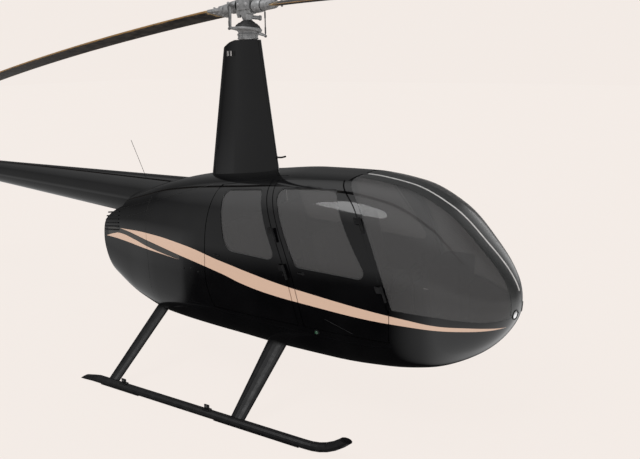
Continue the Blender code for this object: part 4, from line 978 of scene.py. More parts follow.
# Seams in the skin, the aft louvres and the lamps, by their side view places
SEAMS = (((-0.797, 0.745), (-0.797, 1.10), (-0.797, 1.585)),
         ((-1.297, 1.400), (-0.96, 1.497), (-0.626, 1.590), (-0.34, 1.682), (-0.111, 1.747)),
         ((-1.128, 1.361), (-0.92, 1.427), (-0.711, 1.493)), ((1.093, 0.843), (1.21, 0.805), (1.323, 0.766)))
LOUVRES = {"aft": -1.455, "front": -1.225, "low": 1.196, "step": 0.034, "rise": 0.030, "count": 6}
NOSE_LAMP = ((2.391, 0.100, 0.935), (0.97, 0.23, -0.07))
NOSE_INLET = ((2.3965, 0.0, 1.030), (0.982, 0.0, 0.19))
SIDE_LAMP = (1.016, 0.719)
ACCESS = ((-0.221, 1.050), (-0.140, 1.030), (-0.310, 1.035))


def make_body_details():
    """Skin seams, aft louvres, access latches, nose lamps with the air inlet, and the side lamps."""
    lens = [(0.0, 0.029), (0.003, 0.024), (0.0045, 0.014), (0.005, 0.004)]
    ring = [(-0.006, 0.041), (0.003, 0.040), (0.0045, 0.036), (0.002, 0.031), (-0.004, 0.030)]
    for word, side in SIDES.items():
        lines = [pipe([on_skin(x, z, side)[0] for x, z in smooth_line(line, 24)], 0.0011, 6)
                 for line in SEAMS]
        built(f"skin_seams_{word}", lines, "seal")
        ribs = []
        for k in range(LOUVRES["count"]):
            z = LOUVRES["low"] + k * LOUVRES["step"]
            start, end = LOUVRES["aft"] + 0.011 * k, LOUVRES["front"]
            path = [on_skin(start + (end - start) * i / 8, z + LOUVRES["rise"] * i / 8, side, 0.001)[0]
                    for i in range(9)]
            ribs.append(pipe(path, 0.0065, 10))
        built(f"aft_louvres_{word}", ribs, "satin")
        latches = []
        for x, z in ACCESS:
            at, normal = on_skin(x, z, side)
            latches.append(lathe([(-0.004, 0.009), (0.0015, 0.009), (0.0025, 0.006)], at, at + normal, 20))
        built(f"access_latches_{word}", latches, "satin")
        at = Vector((NOSE_LAMP[0][0], side * NOSE_LAMP[0][1], NOSE_LAMP[0][2]))
        way = at + Vector((NOSE_LAMP[1][0], side * NOSE_LAMP[1][1], NOSE_LAMP[1][2]))
        built(f"nose_lamp_ring_{word}", [lathe(ring, at, way, 40)], "satin")
        built(f"nose_lamp_{word}", [lathe(lens, at, way, 40)], "lamp")
        at, normal = on_skin(*SIDE_LAMP, side)
        cup = lathe([(-0.004, 0.022), (0.004, 0.021), (0.006, 0.016)], at, at + normal, 28)
        built(f"side_lamp_cup_{word}", [cup], "satin")
        dome = lathe([(0.004, 0.014), (0.012, 0.012), (0.019, 0.007), (0.021, 0.002)], at, at + normal, 28)
        built(f"side_lamp_{word}", [dome], "green_lens" if side == RIGHT else "red_lens")
    at = Vector(NOSE_INLET[0])
    profile = [(-0.006, 0.028), (0.002, 0.027), (0.003, 0.022), (-0.004, 0.020)]
    built("nose_inlet", [lathe(profile, at, at + Vector(NOSE_INLET[1]), 36)], "satin")


# Doors

def edge_slants(line, ahead):
    """A door's edge with its slants: ahead all along, and upwards at its foot, along the edge itself."""
    made = []
    for i, (x, z) in enumerate(line):
        low = line[max(i - 1, 0)]
        high = line[min(i + 1, len(line) - 1)]
        lean = (high[0] - low[0]) / (high[1] - low[1])
        rise = EDGE_SLANT_LOW * max(0.0, 1 - (z - line[0][1]) / 0.2)
        made.append(((x, z), (ahead + rise * lean, rise)))
    return made


def door_region(row, side):
    """Region of a door, with the slanting edges that let it swing past its frame."""
    bottom = SILL_Z + DOOR_GAP
    if row == "front":
        front = [(NOSE_SPLIT_X - DOOR_GAP, bottom)] + shift_line(POST_LINE, -POST_FRONT_WIDTH - DOOR_GAP)
        back = above(shift_line(MIDDLE_LINE, POST_MIDDLE_HALF + DOOR_GAP), bottom)
    else:
        front = above(shift_line(MIDDLE_LINE, -POST_MIDDLE_HALF - DOOR_GAP), bottom)
        back = above(AFT_LINE, bottom)
    outline = edge_slants(front, EDGE_SLANT_FRONT if row == "front" else 0.0)
    outline += [((front[-1][0], HIGH_Z), (0.0, 0.0)), ((back[-1][0], HIGH_Z), (0.0, 0.0))]
    outline += edge_slants(back, EDGE_SLANT_AFT)[::-1]
    near = []
    far = []
    for (x, z), (ahead, rise) in outline:
        inner = roof_edge(x) + DOOR_GAP - SEAT_GAP
        depth = max(skin_y(x, z) - inner, 0.0) if z < float(TOP_LINE(place_of(x))) else 0.0
        beyond = FAR - inner - depth
        near.append((x + ahead * depth, side * inner, z + rise * depth))
        far.append((x - ahead * beyond, side * FAR, z - rise * beyond))
    return loft([near, far])


# Hinge straps in section, as (distance ahead, height above the skin)
FIXED_STRAP = ((0.0, 0.004), (0.0, -0.004), (-0.002, -0.016), (-0.012, -0.016), (-0.010, 0.010))
DOOR_STRAP = ((0.0, 0.004), (-0.048, 0.023), (-0.058, -0.016), (-0.044, -0.016), (-0.034, 0.015),
              (0.0, -0.004))
HINGE_SPANS = {"front": 0.6247, "rear": 0.3968}


def hinge_line(row, word):
    """Lower point and upward direction of a door's hinge axis."""
    joint = JOINTS[f"door_{row}_{word}_hinge"]
    point = Vector(joint["pos_m"]) - Vector((MAST_X, 0, 0))
    axis = Vector(joint["axis"])
    return point, axis if axis.z > 0 else -axis


def hinge_shapes(row, word, side, fixed):
    """Knuckles and straps of one half of a door's two hinges."""
    low, axis = hinge_line(row, word)
    length = HINGE_SPANS[row]
    shapes = []
    for middle in (low + axis * 0.05, low + axis * (length - 0.05)):
        way = -1 if fixed else 1
        near = middle + axis * way * SEAT_GAP
        far = middle + axis * way * 0.060
        shapes.append(rod(near, far, 0.010, 20))
        section = FIXED_STRAP if fixed else DOOR_STRAP
        rings = []
        for point in (near + axis * way * 0.006, far - axis * way * 0.006):
            ring = []
            for x, out in section:
                y = abs(point.y) if x == 0 else skin_y(point.x + x, point.z)
                ring.append((point.x + x, side * (y + out), point.z))
            rings.append(ring)
        shapes.append(loft(rings))
        if not fixed:
            for k in (0.35, 0.75):
                spot = near.lerp(far, k)
                at, normal = on_skin(spot.x - 0.046, spot.z, side, 0.0165)
                shapes.append(bolt(at, normal, 0.0045, 0.004))
    return shapes


def make_doors():
    """Four doors with their windows, seals, glass, hinges and handles."""
    for word, side in SIDES.items():
        for row, window, fore, aft in (("front", WINDOW_FRONT, 1.68, 0.42),
                                       ("rear", WINDOW_REAR, 0.93, -0.16)):
            body = f"door_{row}_{word}"
            low, high = half_angles(side, -0.75, 1.42)
            hole = prism_y(rounded(window), lambda x: side * 0.15, side * FAR)
            wall = patch(fore, aft, low, high, 0.0, SKIN, 0.028)
            panel(f"{body}_panel", wall, body, [door_region(row, side)], [hole], body=body)
            fill = prism_y(rounded(window, -SEAT_GAP), lambda x: side * 0.15, side * FAR)
            mesh = carve("pane", patch(fore, aft, low, high, GLASS_INSET, GLASS_INSET + GLASS_THICK), [fill])
            smooth_skin(mesh, GLASS_INSET, GLASS_INSET + GLASS_THICK)
            piece(f"{body}_window", mesh, FINISH["glass"], body, "tinted_glass", f"glass_{row}_{word}",
                  angle=0)
            ring = [on_skin(x, z, side, -0.004)[0] for x, z in rounded(window, -0.003, 10)]
            built(f"{body}_seal", [pipe(ring, 0.0035, 8, True)], "seal", body=body)
            built(f"{body}_hinges", hinge_shapes(row, word, side, False), "satin", body=body)
            built(f"post_{row}_{word}_hinges", hinge_shapes(row, word, side, True), "satin")
            make_handle(body, row, side)


HANDLES = {"front": ((0.908, 1.180), (0.728, 1.145)), "rear": ((0.090, 1.212), (0.190, 1.196))}


def make_handle(body, row, side):
    """Flush lever on a round plate, with the lock beside it."""
    (x, z), (lock_x, lock_z) = HANDLES[row]
    at, normal = on_skin(x, z, side)
    plate = lathe([(-0.006, 0.014), (0.002, 0.014), (0.0035, 0.011)], at, at + normal, 32)
    bar = [on_skin(x + shift, z, side, proud)[0] for shift, proud in
           ((0.010, 0.003), (0.005, 0.008), (-0.022, 0.009), (-0.040, 0.008), (-0.046, 0.002))]
    grip = pipe(smooth_line(bar, 18), 0.0045, 12)
    lock, lock_normal = on_skin(lock_x, lock_z, side)
    barrel = lathe([(-0.004, 0.008), (0.002, 0.008), (0.003, 0.006)], lock, lock + lock_normal, 24)
    built(f"{body}_handle", [plate, grip, barrel], "satin", body=body)


# Cabin

FLOOR_Z = 0.620
SEAT_SHIFT = 0.80
SEAT_Y = (0.045, 0.525)
PAD_INSET = 0.010
PAD_SWELL = 0.009
PAD_GRID = 0.012
CHANNEL_EDGE = 0.11
CHANNEL_WIDTH = 0.007
CHANNEL_DEPTH = 0.007


def make_cabin():
    """Console, stick, pedals, floor and seat boxes."""
    for node, finish in (("cabin_floor", "carpet"), ("firewall", "trim"), ("seat_box_front", "trim"),
                         ("seat_box_rear", "trim"), ("pedals_right", "steel"), ("pedals_left", "steel")):
        dress(node, finish)
    z = FLOOR_Z
    shell = soft_slab((1.72, -0.11, z + 0.001), (1.98, 0.11, z + 0.44), 0.018)
    hood = soft_slab((1.74, -0.21, z + 0.42), (1.985, 0.21, z + 0.645), 0.030)
    console = carve("console", shell, add=[hood])
    piece("console_shell", console, FINISH["rubber"], "airframe", "trim_plastic", "instrument_console")
    dials = []
    profile = [(-0.002, 0.044), (0.004, 0.044), (0.007, 0.038), (0.003, 0.036)]
    for row in range(2):
        for k in range(3):
            at = Vector((1.7395, (k - 1) * 0.115, z + 0.585 - row * 0.098))
            dials.append(lathe(profile, at, at - Vector((1, 0, 0)), 32))
    built("console_dials", dials, "dial", "trim_plastic")
    path = [(1.56, 0, z + 0.03), (1.553, 0, 0.84), (1.54, 0, 1.00), (1.50, 0, 1.10)]
    stick = [pipe(smooth_line(path, 14), 0.015)]
    bar = smooth_line([(1.50, -0.315, 1.10), (1.50, -0.12, 1.112), (1.50, 0, 1.10), (1.50, 0.12, 1.112),
                       (1.50, 0.315, 1.10)], 24)
    stick.append(pipe(bar, 0.011))
    stick.append(ball((1.50, 0, 1.10), 0.024))
    boot = [(0, 0.050), (0.012, 0.047), (0.022, 0.036), (0.034, 0.034), (0.045, 0.022)]
    stick.append(lathe(boot, (1.56, 0, z + SEAT_GAP), (1.56, 0, 1.0), 32))
    built("cyclic_bar", stick, "satin", "satin_black", "cyclic_stick")
    profile = [(0, 0.013), (0.01, 0.017), (0.05, 0.015), (0.09, 0.0165), (0.13, 0.0145), (0.148, 0.009)]
    grips = [lathe(profile, (1.50, y, 1.022), (1.50, y, 1.2), 24) for y in (-0.33, 0.33)]
    built("cyclic_grips", grips, "rubber", "satin_black")


def dress(node, finish):
    """Give a CAD node its finish, and shade its round parts smooth."""
    shown = frame["nodes"][node]
    shown.data.materials.clear()
    shown.data.materials.append(FINISH[finish])
    shown.data.shade_smooth()
    shown.data.set_sharp_from_angle(angle=math.radians(32))


# Seats

def pad_shape(corners, y_low, y_high, inset):
    """Side outline of a pad drawn across, a little smaller than its place."""
    middle = np.mean(np.array(corners), axis=0)
    outline = []
    for x, z in corners:
        way = np.array([x, z]) - middle
        outline.append(tuple(middle + way * (1 - inset / np.linalg.norm(way))))
    return prism_y(outline, lambda x: y_low + inset, y_high - inset)


def plump(mesh, limit):
    """Blow a closed pad up as cloth, cap how far each point moves, and round it."""
    made = bpy.data.objects.new("pad", mesh)
    bpy.context.scene.collection.objects.link(made)
    remesh = made.modifiers.new("Remesh", "REMESH")
    remesh.mode = "VOXEL"
    remesh.voxel_size = PAD_GRID
    bpy.context.view_layer.update()
    depsgraph = bpy.context.evaluated_depsgraph_get()
    start = bpy.data.meshes.new_from_object(made.evaluated_get(depsgraph))
    made.modifiers.clear()
    made.data = start
    rest = np.array([v.co for v in start.vertices])
    cloth = made.modifiers.new("Cloth", "CLOTH")
    cloth.settings.use_pressure = True
    cloth.settings.uniform_pressure_force = 4.0
    cloth.settings.effector_weights.gravity = 0.0
    cloth.settings.quality = 4
    scene = bpy.context.scene
    for number in range(1, 16):
        scene.frame_set(number)
    swollen = bpy.data.meshes.new_from_object(made.evaluated_get(bpy.context.evaluated_depsgraph_get()))
    made.modifiers.clear()
    scene.frame_set(1)
    blown = np.array([v.co for v in swollen.vertices])
    step = blown - rest
    size = np.linalg.norm(step, axis=1)
    scale = np.minimum(1.0, limit / np.maximum(size, 1e-9))
    rest = rest + step * scale[:, None]
    start.vertices.foreach_set("co", rest.ravel())
    bpy.data.objects.remove(made, do_unlink=True)
    return start


def channel(mesh, axis, places, width, depth, facing):
    """Press straight sewn channels into the side of a pad that faces a direction."""
    facing = Vector(facing).normalized()
    for vertex, normal in zip(mesh.vertices, [v.normal.copy() for v in mesh.vertices]):
        face_on = max(0.0, normal.dot(facing))
        if face_on <= 0.2:
            continue
        sink = 0.0
        for place in places:
            sink += math.exp(-((vertex.co[axis] - place) / width) ** 2)
        vertex.co -= normal * depth * sink * face_on


def make_seats():
    """Four padded seats: one cushion and one backrest shape, used for each place."""
    deck = FLOOR_Z + SEAT_GAP
    cushion = [(1.435, 0.270), (1.435, 0.345), (1.14, 0.318), (1.045, 0.30), (1.052, 0.232)]
    back = [(1.112, 0.322), (1.075, 0.50), (0.978, 0.868), (0.905, 0.868), (0.888, 0.800), (1.022, 0.300)]
    width = SEAT_Y[1] - SEAT_Y[0]
    channels = (CHANNEL_EDGE, width / 2, width - CHANNEL_EDGE)
    shapes = []
    for corners, facing in ((cushion, (0.1, 0, 1)), (back, (1, 0, 0.3))):
        placed = [(x, z + deck) for x, z in corners]
        mesh = plump(mesh_of("pad", *pad_shape(placed, 0.0, width, PAD_INSET)), PAD_SWELL)
        channel(mesh, 1, channels, CHANNEL_WIDTH, CHANNEL_DEPTH, facing)
        shapes.append(mesh)
    for row, shift in (("front", 0.0), ("rear", SEAT_SHIFT)):
        for word, side in SIDES.items():
            start = SEAT_Y[0] if side == LEFT else -SEAT_Y[1]
            for part, source in zip(("cushion", "backrest"), shapes):
                mesh = source.copy()
                mesh.transform(Matrix.Translation((-shift, start, 0)))
                seat = f"seat_{row}_{word}"
                made = piece(f"{seat}_{part}", mesh, FINISH["leather"], "airframe", "leather", seat, angle=80)
                round_off = made.modifiers.new("Smooth", "SUBSURF")
                round_off.levels = 1
                round_off.render_levels = 1


# Mast, head and blades

FAIRING_BASE = {"z": 1.64, "front": 0.302, "aft": -0.466, "half": 0.125}
FAIRING_TOP = {"z": 2.925, "front": 0.124, "aft": -0.246, "half": 0.088}
FAIRING_SLOPE = ((-0.09, 2.925), (-0.16, 2.907), (-0.30, 2.845), (-0.30, 3.025), (-0.09, 3.025))
AIR_TUBE = ((0.20, 0.0, 1.943), (0.300, 0.0, 1.946), (0.351, 0.0, 1.958))


def wing_ring(front, aft, half, z, count=24, blunt=0.06):
    """Streamlined section in plan: round in front, thin behind."""
    chord = front - aft
    upper = []
    for k in range(count):
        u = (k / (count - 1)) ** 1.6
        shape = 2.6 * math.sqrt(u) * (1 - u) ** 0.75 * 0.72 + blunt * u
        upper.append((front - u * chord, min(shape, 1.0) * half))
    ring = upper + [(x, -y) for x, y in upper[:0:-1]]
    return [(x, y, z) for x, y in ring]


def make_mast():
    """Streamlined mast fairing with its slots and air data tube."""
    low = FAIRING_BASE
    high = FAIRING_TOP
    steps = 8
    rings = []
    for k in range(steps + 1):
        values = [low[key] + (high[key] - low[key]) * (k / steps) for key in ("front", "aft", "half", "z")]
        rings.append(wing_ring(*values))
    body = patch(0.6, -0.7, 0.9, math.pi - 0.9, -SEAT_GAP, 0.4, 0.05)
    mesh = carve("fairing", loft(rings), remove=[prism_y(FAIRING_SLOPE, lambda x: -0.3, 0.3), body])
    piece("mast_shell", mesh, FINISH["paint"], "airframe", "gloss_black", "mast_fairing", angle=40)
    slots = []
    for side in (RIGHT, LEFT):
        for x, out in ((-0.152, 0.090), (-0.118, 0.0915)):
            y = side * out
            path = [(x - 0.005, y, 2.795), (x + 0.005, y, 2.795), (x + 0.005, y, 2.835),
                    (x - 0.005, y, 2.835)]
            slots.append(pipe(path, 0.0022, 8, True))
    built("mast_slots", slots, "bright_trim_and_highlight")
    tube = pipe(smooth_line(AIR_TUBE, 16), 0.0075, 16)
    foot = lathe([(0, 0.018), (0.006, 0.016), (0.012, 0.010)], (0.254, 0, 1.944), (0.4, 0, 1.944), 24)
    built("air_data_tube", [tube, foot], "satin")


def plate_matrix():
    """Tilt of the upper swashplate about the mast."""
    near = BLADE_AZIMUTH + LINK_AZIMUTH
    tilt = Matrix.Rotation(PLATE_TILT, 4, Vector((math.sin(near), -math.cos(near), 0)))
    return Matrix.Translation((0, 0, PLATE_Z)) @ tilt


def make_swashplate():
    """Bolted lower housing, tilted upper plate with its boot and brace, and the two pitch links."""
    base = FAIRING_TOP["z"] + SEAT_GAP
    profile = [(0, 0.066), (0.004, 0.086), (0.012, 0.089), (0.016, 0.084), (0.036, 0.083), (0.040, 0.089),
               (0.048, 0.089), (0.052, 0.084), (0.0547, 0.076)]
    housing = [lathe(profile, (0, 0, base), (0, 0, base + 1), 48)]
    for x, y in circle(12, 0.083):
        housing.append(bolt((x, y, base + 0.038), (0, 0, -1), 0.0045, 0.010))
    built("swashplate_housing", housing, "cast", "alloy", "swashplate_lower")
    matrix = plate_matrix()
    profile = [(-0.020, 0.085), (-0.014, 0.114), (-0.006, 0.121), (0.004, 0.121), (0.009, 0.115),
               (0.011, 0.095)]
    plate = lathe(profile, (0, 0, 0), (0, 0, 1), 56)
    skirt = lathe([(0, 0.079), (0.010, 0.083), (0.020, 0.094), (0.030, 0.104)],
                  (0, 0, HOUSING_TOP_Z + SEAT_GAP), (0, 0, 4), 48)
    shapes = [moved(plate, matrix), skirt]
    near = BLADE_AZIMUTH + LINK_AZIMUTH
    rods = []
    for azimuth, low, high in zip((near, near + math.pi), LINK_FEET_Z, LINK_HEADS_Z):
        out = Vector((math.cos(azimuth), math.sin(azimuth), 0))
        root = out * 0.10 + Vector((0, 0, PLATE_Z + (low - PLATE_Z) * 0.55))
        end = out * LINK_RADIUS + Vector((0, 0, low))
        shapes.append(rod(root, end, 0.016, 20, 0.010))
        foot = end - Vector((0, 0, 0.004))
        head = out * LINK_RADIUS + Vector((0, 0, high))
        rods.append(rod(foot, head, 0.0050, 16))
        rods.append(rod(foot.lerp(head, 0.10), foot.lerp(head, 0.34), 0.0075, 6))
        rods.append(rod(foot.lerp(head, 0.66), foot.lerp(head, 0.90), 0.0075, 6))
        rods.append(ball(foot, 0.0125))
    brace = BLADE_AZIMUTH + BRACE["azimuth"]
    way = Vector((math.cos(brace), math.sin(brace), 0)) * BRACE["out"]
    low, high = (way + Vector((0, 0, z)) for z in BRACE["z"])
    shapes.append(rod(low, high, BRACE["radii"][0], 20, BRACE["radii"][1]))
    foot = way * 0.6 + Vector((0, 0, PLATE_Z))
    shapes.append(rod(foot, way + Vector((0, 0, BRACE["z"][0] + 0.006)), 0.012, 16))
    built("swashplate_plate", shapes, "cast", "alloy", "swashplate_upper", body="main_rotor")
    built("pitch_links", rods, "steel", "alloy", body="main_rotor")
    folds = [(0, 0.109), (0.010, 0.110), (0.014, 0.104), (0.026, 0.100), (0.030, 0.090), (0.042, 0.080),
             (0.046, 0.066), (0.056, 0.056), (0.062, 0.044), (0.068, 0.040)]
    rubber = lathe(folds, (0, 0, 0.004), (0, 0, 1), 48)
    lean = Matrix.Translation((0, 0, PLATE_Z)) @ Matrix.Rotation(PLATE_TILT * 0.6, 4, Vector(
        (math.sin(near), -math.cos(near), 0)))
    built("swashplate_boot", [moved(rubber, lean)], "rubber", "alloy", body="main_rotor")


def blade_height(r, number):
    """Height of a parked blade's pitch axis. The teetered hub lowers the aft blade, and both blades sag."""
    return BLADE_ROOTS_Z[number] - BLADE_SLOPES[number] * r - BLADE_SAGS[number] * r * r


def pitched(r, y, h, number, share=1.0):
    """Point of a blade at a radius, turned by the blade's pitch there, leading edge up."""
    angle = (BLADE_PITCH + BLADE_TWIST * r) * share
    aside = y * math.cos(angle) - h * math.sin(angle)
    return (r, aside, blade_height(r, number) + y * math.sin(angle) + h * math.cos(angle))


def make_head():
    """Hub, grips with their boots and seams, pitch horns and bolts."""
    lean = Matrix.Translation((0, 0, HUB_Z)) @ Matrix.Rotation(TEETER, 4, "Y")
    shapes = [moved(soft_slab((-0.074, -0.057, -0.047), (0.074, 0.057, 0.047), 0.010), lean)]
    profile = [(0, 0.036), (0.010, 0.040), (0.026, 0.047), (0.044, 0.052), (0.066, 0.054), (0.094, 0.05)]
    shapes.append(lathe(profile, (0, 0, 3.0785), (0, 0, 4), 40))
    shapes.append(moved(lathe([(0, 0.050), (0.016, 0.050), (0.018, 0.044), (0.022, 0.034), (0.0265, 0.030)],
                              (0, 0, 0.040), (0, 0, 1), 6), lean))
    shapes.append(soft_slab((0.018, -0.046, 3.122), (0.088, 0.046, 3.176), 0.014))
    shapes.append(soft_slab((-0.070, -0.044, 3.132), (-0.010, 0.044, 3.178), 0.014))
    for y in (-0.030, 0.028):
        shapes.append(rod((0.066, y, 3.106), (0.070, y, 3.170), 0.017, 16))
    tab = Vector((-0.060, -0.092, 3.103))
    shapes.append(rod(tab, (0, 0, 3.112), 0.0165, 20))
    shapes.append(rod(tab - Vector((0.006, 0.009, 0)), tab + Vector((0.006, 0.009, 0)), 0.0215, 20))
    dark = []
    bolts = []
    for number, turn in enumerate((0, math.pi)):
        spin = about_mast(turn)

        def line(r):
            return Vector((r, 0, blade_height(r, number)))

        grip = [rod(line(0.055), line(0.128), 0.0395, 32)]
        grip.append(lathe([(0, 0.040), (0.006, 0.052), (0.030, 0.0535), (0.080, 0.0505), (0.088, 0.046)],
                          line(0.088), line(0.30), 40))
        grip.append(lathe([(0, 0.044), (0.02, 0.0445), (0.05, 0.041), (0.14, 0.036), (0.16, 0.030)],
                          line(0.170), line(0.35), 36))
        tip = Vector((LINK_RADIUS * math.cos(LINK_AZIMUTH), LINK_RADIUS * math.sin(LINK_AZIMUTH),
                      LINK_HEADS_Z[number] + LINK_DROP))
        grip.append(rod((0.13, 0.03, blade_height(0.13, number)), tip, 0.0195, 20, 0.011))
        grip.append(ball(tip, 0.0125))
        cuff = []
        for r in (0.25, 0.30, 0.36, BLADE_START - SEAT_GAP):
            t = (r - 0.25) / (BLADE_START - SEAT_GAP - 0.25)
            half = 0.045 + (BLADE_CHORD / 2 - 0.045) * t
            centre = -0.25 * BLADE_CHORD * t
            deep = 0.022 - 0.006 * t
            cuff.append([pitched(r, centre + half * math.copysign(abs(c) ** 0.45, c),
                                 deep * math.copysign(abs(s) ** 0.45, s), number, t) for c, s in circle(24)])
        grip.append(loft(cuff))
        shapes += [moved(shape, spin) for shape in grip]
        seam = lathe([(0, 0.0415), (0.004, 0.0535), (0.008, 0.0415)], line(0.086), line(0.3), 40)
        band = lathe([(0, 0.0435), (0.002, 0.0450), (0.010, 0.0450), (0.012, 0.0435)], line(0.176),
                     line(0.35), 40)
        dark += [moved(seam, spin), moved(band, spin)]
        for side in (-1, 1):
            for k in range(2):
                r = 0.300 + 0.055 * k
                t = (r - 0.25) / (BLADE_START - 0.25)
                for face in (-1, 1):
                    aside = side * (0.028 + 0.022 * k) - 0.012 * k
                    spot = pitched(r, aside, face * (0.0215 - 0.006 * t), number, t)
                    bolts.append(moved(bolt(spot, (0, 0, face), 0.009, 0.010), spin))
            bolts.append(moved(bolt((0.045, side * 0.057, HUB_Z), (0, side, 0), 0.012, 0.012), spin))
            low = line(0.140) + Vector((0, side * 0.048, -0.018))
            bolts.append(moved(bolt(low, (0, side, -0.4), 0.008, 0.008), spin))
    turn = about_mast(BLADE_AZIMUTH)
    for name, group, finish, nodes in (("hub_assembly", shapes, "cast", ["rotor_hub"]),
                                       ("hub_seams", dark, "rubber", []),
                                       ("hub_bolts", bolts, "machined", [])):
        built(name, [moved(merged(group), turn)], finish, "alloy", *nodes, body="main_rotor")


def blade_section(r, number, chord=BLADE_CHORD, thick=BLADE_THICK, count=14):
    """Aerofoil section at a radius, leading edge towards +Y."""
    upper = []
    for k in range(count):
        u = (k / (count - 1)) ** 1.5
        upper.append(((0.25 - u) * chord, thick * (1.45 * math.sqrt(u) * (1 - u) ** 0.9 + 0.035)))
    lower = [(y, -h) for y, h in upper[::-1]]
    return [pitched(r, y, h, number) for y, h in upper + lower]


def make_blades():
    """Two drooping main rotor blades with closed tips."""
    for number, turn in enumerate((0, math.pi)):
        rings = []
        for k in range(41):
            r = BLADE_START + (ROTOR_RADIUS - 0.004 - BLADE_START) * k / 40
            rings.append(blade_section(r, number))
        rings.append(blade_section(ROTOR_RADIUS, number, BLADE_CHORD * 0.975, BLADE_THICK * 0.7))
        shape = moved(loft(rings), about_mast(turn + BLADE_AZIMUTH))
        built(f"blade_{number + 1}", [shape], "blade", "blade_paint", f"rotor_blade_{number + 1}",
              body="main_rotor")


# Tail

def make_tail():
    """Boom with its rivets and antenna, fins, stabiliser, guard, gearbox and tail rotor."""
    bore = boom_shape(-BOOM_WALL, BOOM_START_X + 0.1, BOOM_END_X - 0.1, 32, 8)
    mesh = carve("boom", boom_shape(0.0, BOOM_START_X, BOOM_END_X), remove=[bore])
    piece("boom_skin", mesh, FINISH["paint"], "airframe", "gloss_black", "tail_boom", angle=40)
    rivets = []
    for x in (-2.05, -2.80, -3.55, -4.30, -5.00):
        r = float(BOOM_RADIUS(-x))
        for y, up in circle(40, start=0.5):
            way = Vector((0, y, up))
            at = Vector((x, 0, boom_z(x))) + way * (r - 0.0005)
            rivets.append(lathe([(0, 0.0035), (0.0012, 0.0022)], at, at + way, 8))
    built("boom_rivets", rivets, "paint")
    whip = pipe(smooth_line([(-1.304, 0, 1.672), (-1.38, 0, 1.84), (-1.456, 0, 2.004)], 10), 0.0022, 8)
    foot = lathe([(0, 0.018), (0.010, 0.014), (0.024, 0.006)], (-1.304, 0, 1.660), (-1.304, 0, 2), 20)
    built("whip_antenna", [whip, foot], "satin")
    for node in ("tail_fins", "stabiliser"):
        dress(node, "paint")
    dress("tail_guard", "satin")
    make_tail_gearbox()
    make_tail_rotor()


TAIL_ROTOR_X = -5.890
TAIL_ROTOR_Y = 0.235
TAIL_HUB = 0.045
BEACON_X = -4.20
TAIL_SECTIONS = ((0.035, 0.050, 0.026), (0.140, 0.050, 0.026), (0.200, 0.130, 0.018), (0.720, 0.130, 0.017),
                 (0.7355, 0.120, 0.008))


def make_tail_gearbox():
    """Tail gearbox with flanges, cooling fins, filler and bolts, and the tail lamps."""
    z = boom_z(TAIL_ROTOR_X)
    start = BOOM_END_X - SEAT_GAP
    profile = [(0, 0.060), (0.002, 0.066), (0.014, 0.066), (0.017, 0.058)]
    for k in range(6):
        at = 0.030 + 0.024 * k
        profile += [(at, 0.056), (at + 0.003, 0.062), (at + 0.009, 0.062), (at + 0.012, 0.056)]
    profile += [(0.180, 0.056), (0.185, 0.062), (0.230, 0.062), (0.236, 0.055), (0.2597, 0.047)]
    shapes = [lathe(profile, (start, 0, z), (start - 1, 0, z), 40)]
    arm = [(0, 0.054), (0.090, 0.050), (0.096, 0.056), (0.106, 0.056), (0.112, 0.046), (0.186, 0.038),
           (0.1947, 0.035)]
    shapes.append(lathe(arm, (TAIL_ROTOR_X, -0.075, z), (TAIL_ROTOR_X, 1, z), 36))
    shapes.append(lathe([(0, 0.013), (0.012, 0.013), (0.014, 0.017), (0.024, 0.017), (0.026, 0.012)],
                        (-5.82, 0, z + 0.056), (-5.82, 0, z + 1), 6))
    built("tail_gearbox_case", shapes, "cast", "alloy", "tail_gearbox")
    bolts = []
    for (y, up), (x, rise) in zip(circle(10, 0.061, 0.5), circle(10, 0.051, 0.5)):
        bolts.append(bolt((start - 0.014, y, z + up), (-1, 0, 0), 0.005, 0.005))
        bolts.append(bolt((TAIL_ROTOR_X + x, 0.031, z + rise), (0, 1, 0), 0.0045, 0.005))
    built("tail_gearbox_bolts", bolts, "machined", "alloy")
    dome = lathe([(0, 0.020), (0.010, 0.019), (0.020, 0.013), (0.024, 0.004)], (-5.975, 0.020, z + 0.010),
                 (-6.5, 0.020, z + 0.010), 28)
    built("tail_lamp", [dome], "lamp")
    seat_z = boom_z(BEACON_X) + float(BOOM_RADIUS(-BEACON_X)) - 0.002
    beacon = lathe([(0, 0.034), (0.008, 0.034), (0.012, 0.028), (0.040, 0.024), (0.052, 0.010)],
                   (BEACON_X, 0, seat_z), (BEACON_X, 0, 3), 36)
    built("boom_beacon", [beacon], "red_lens")


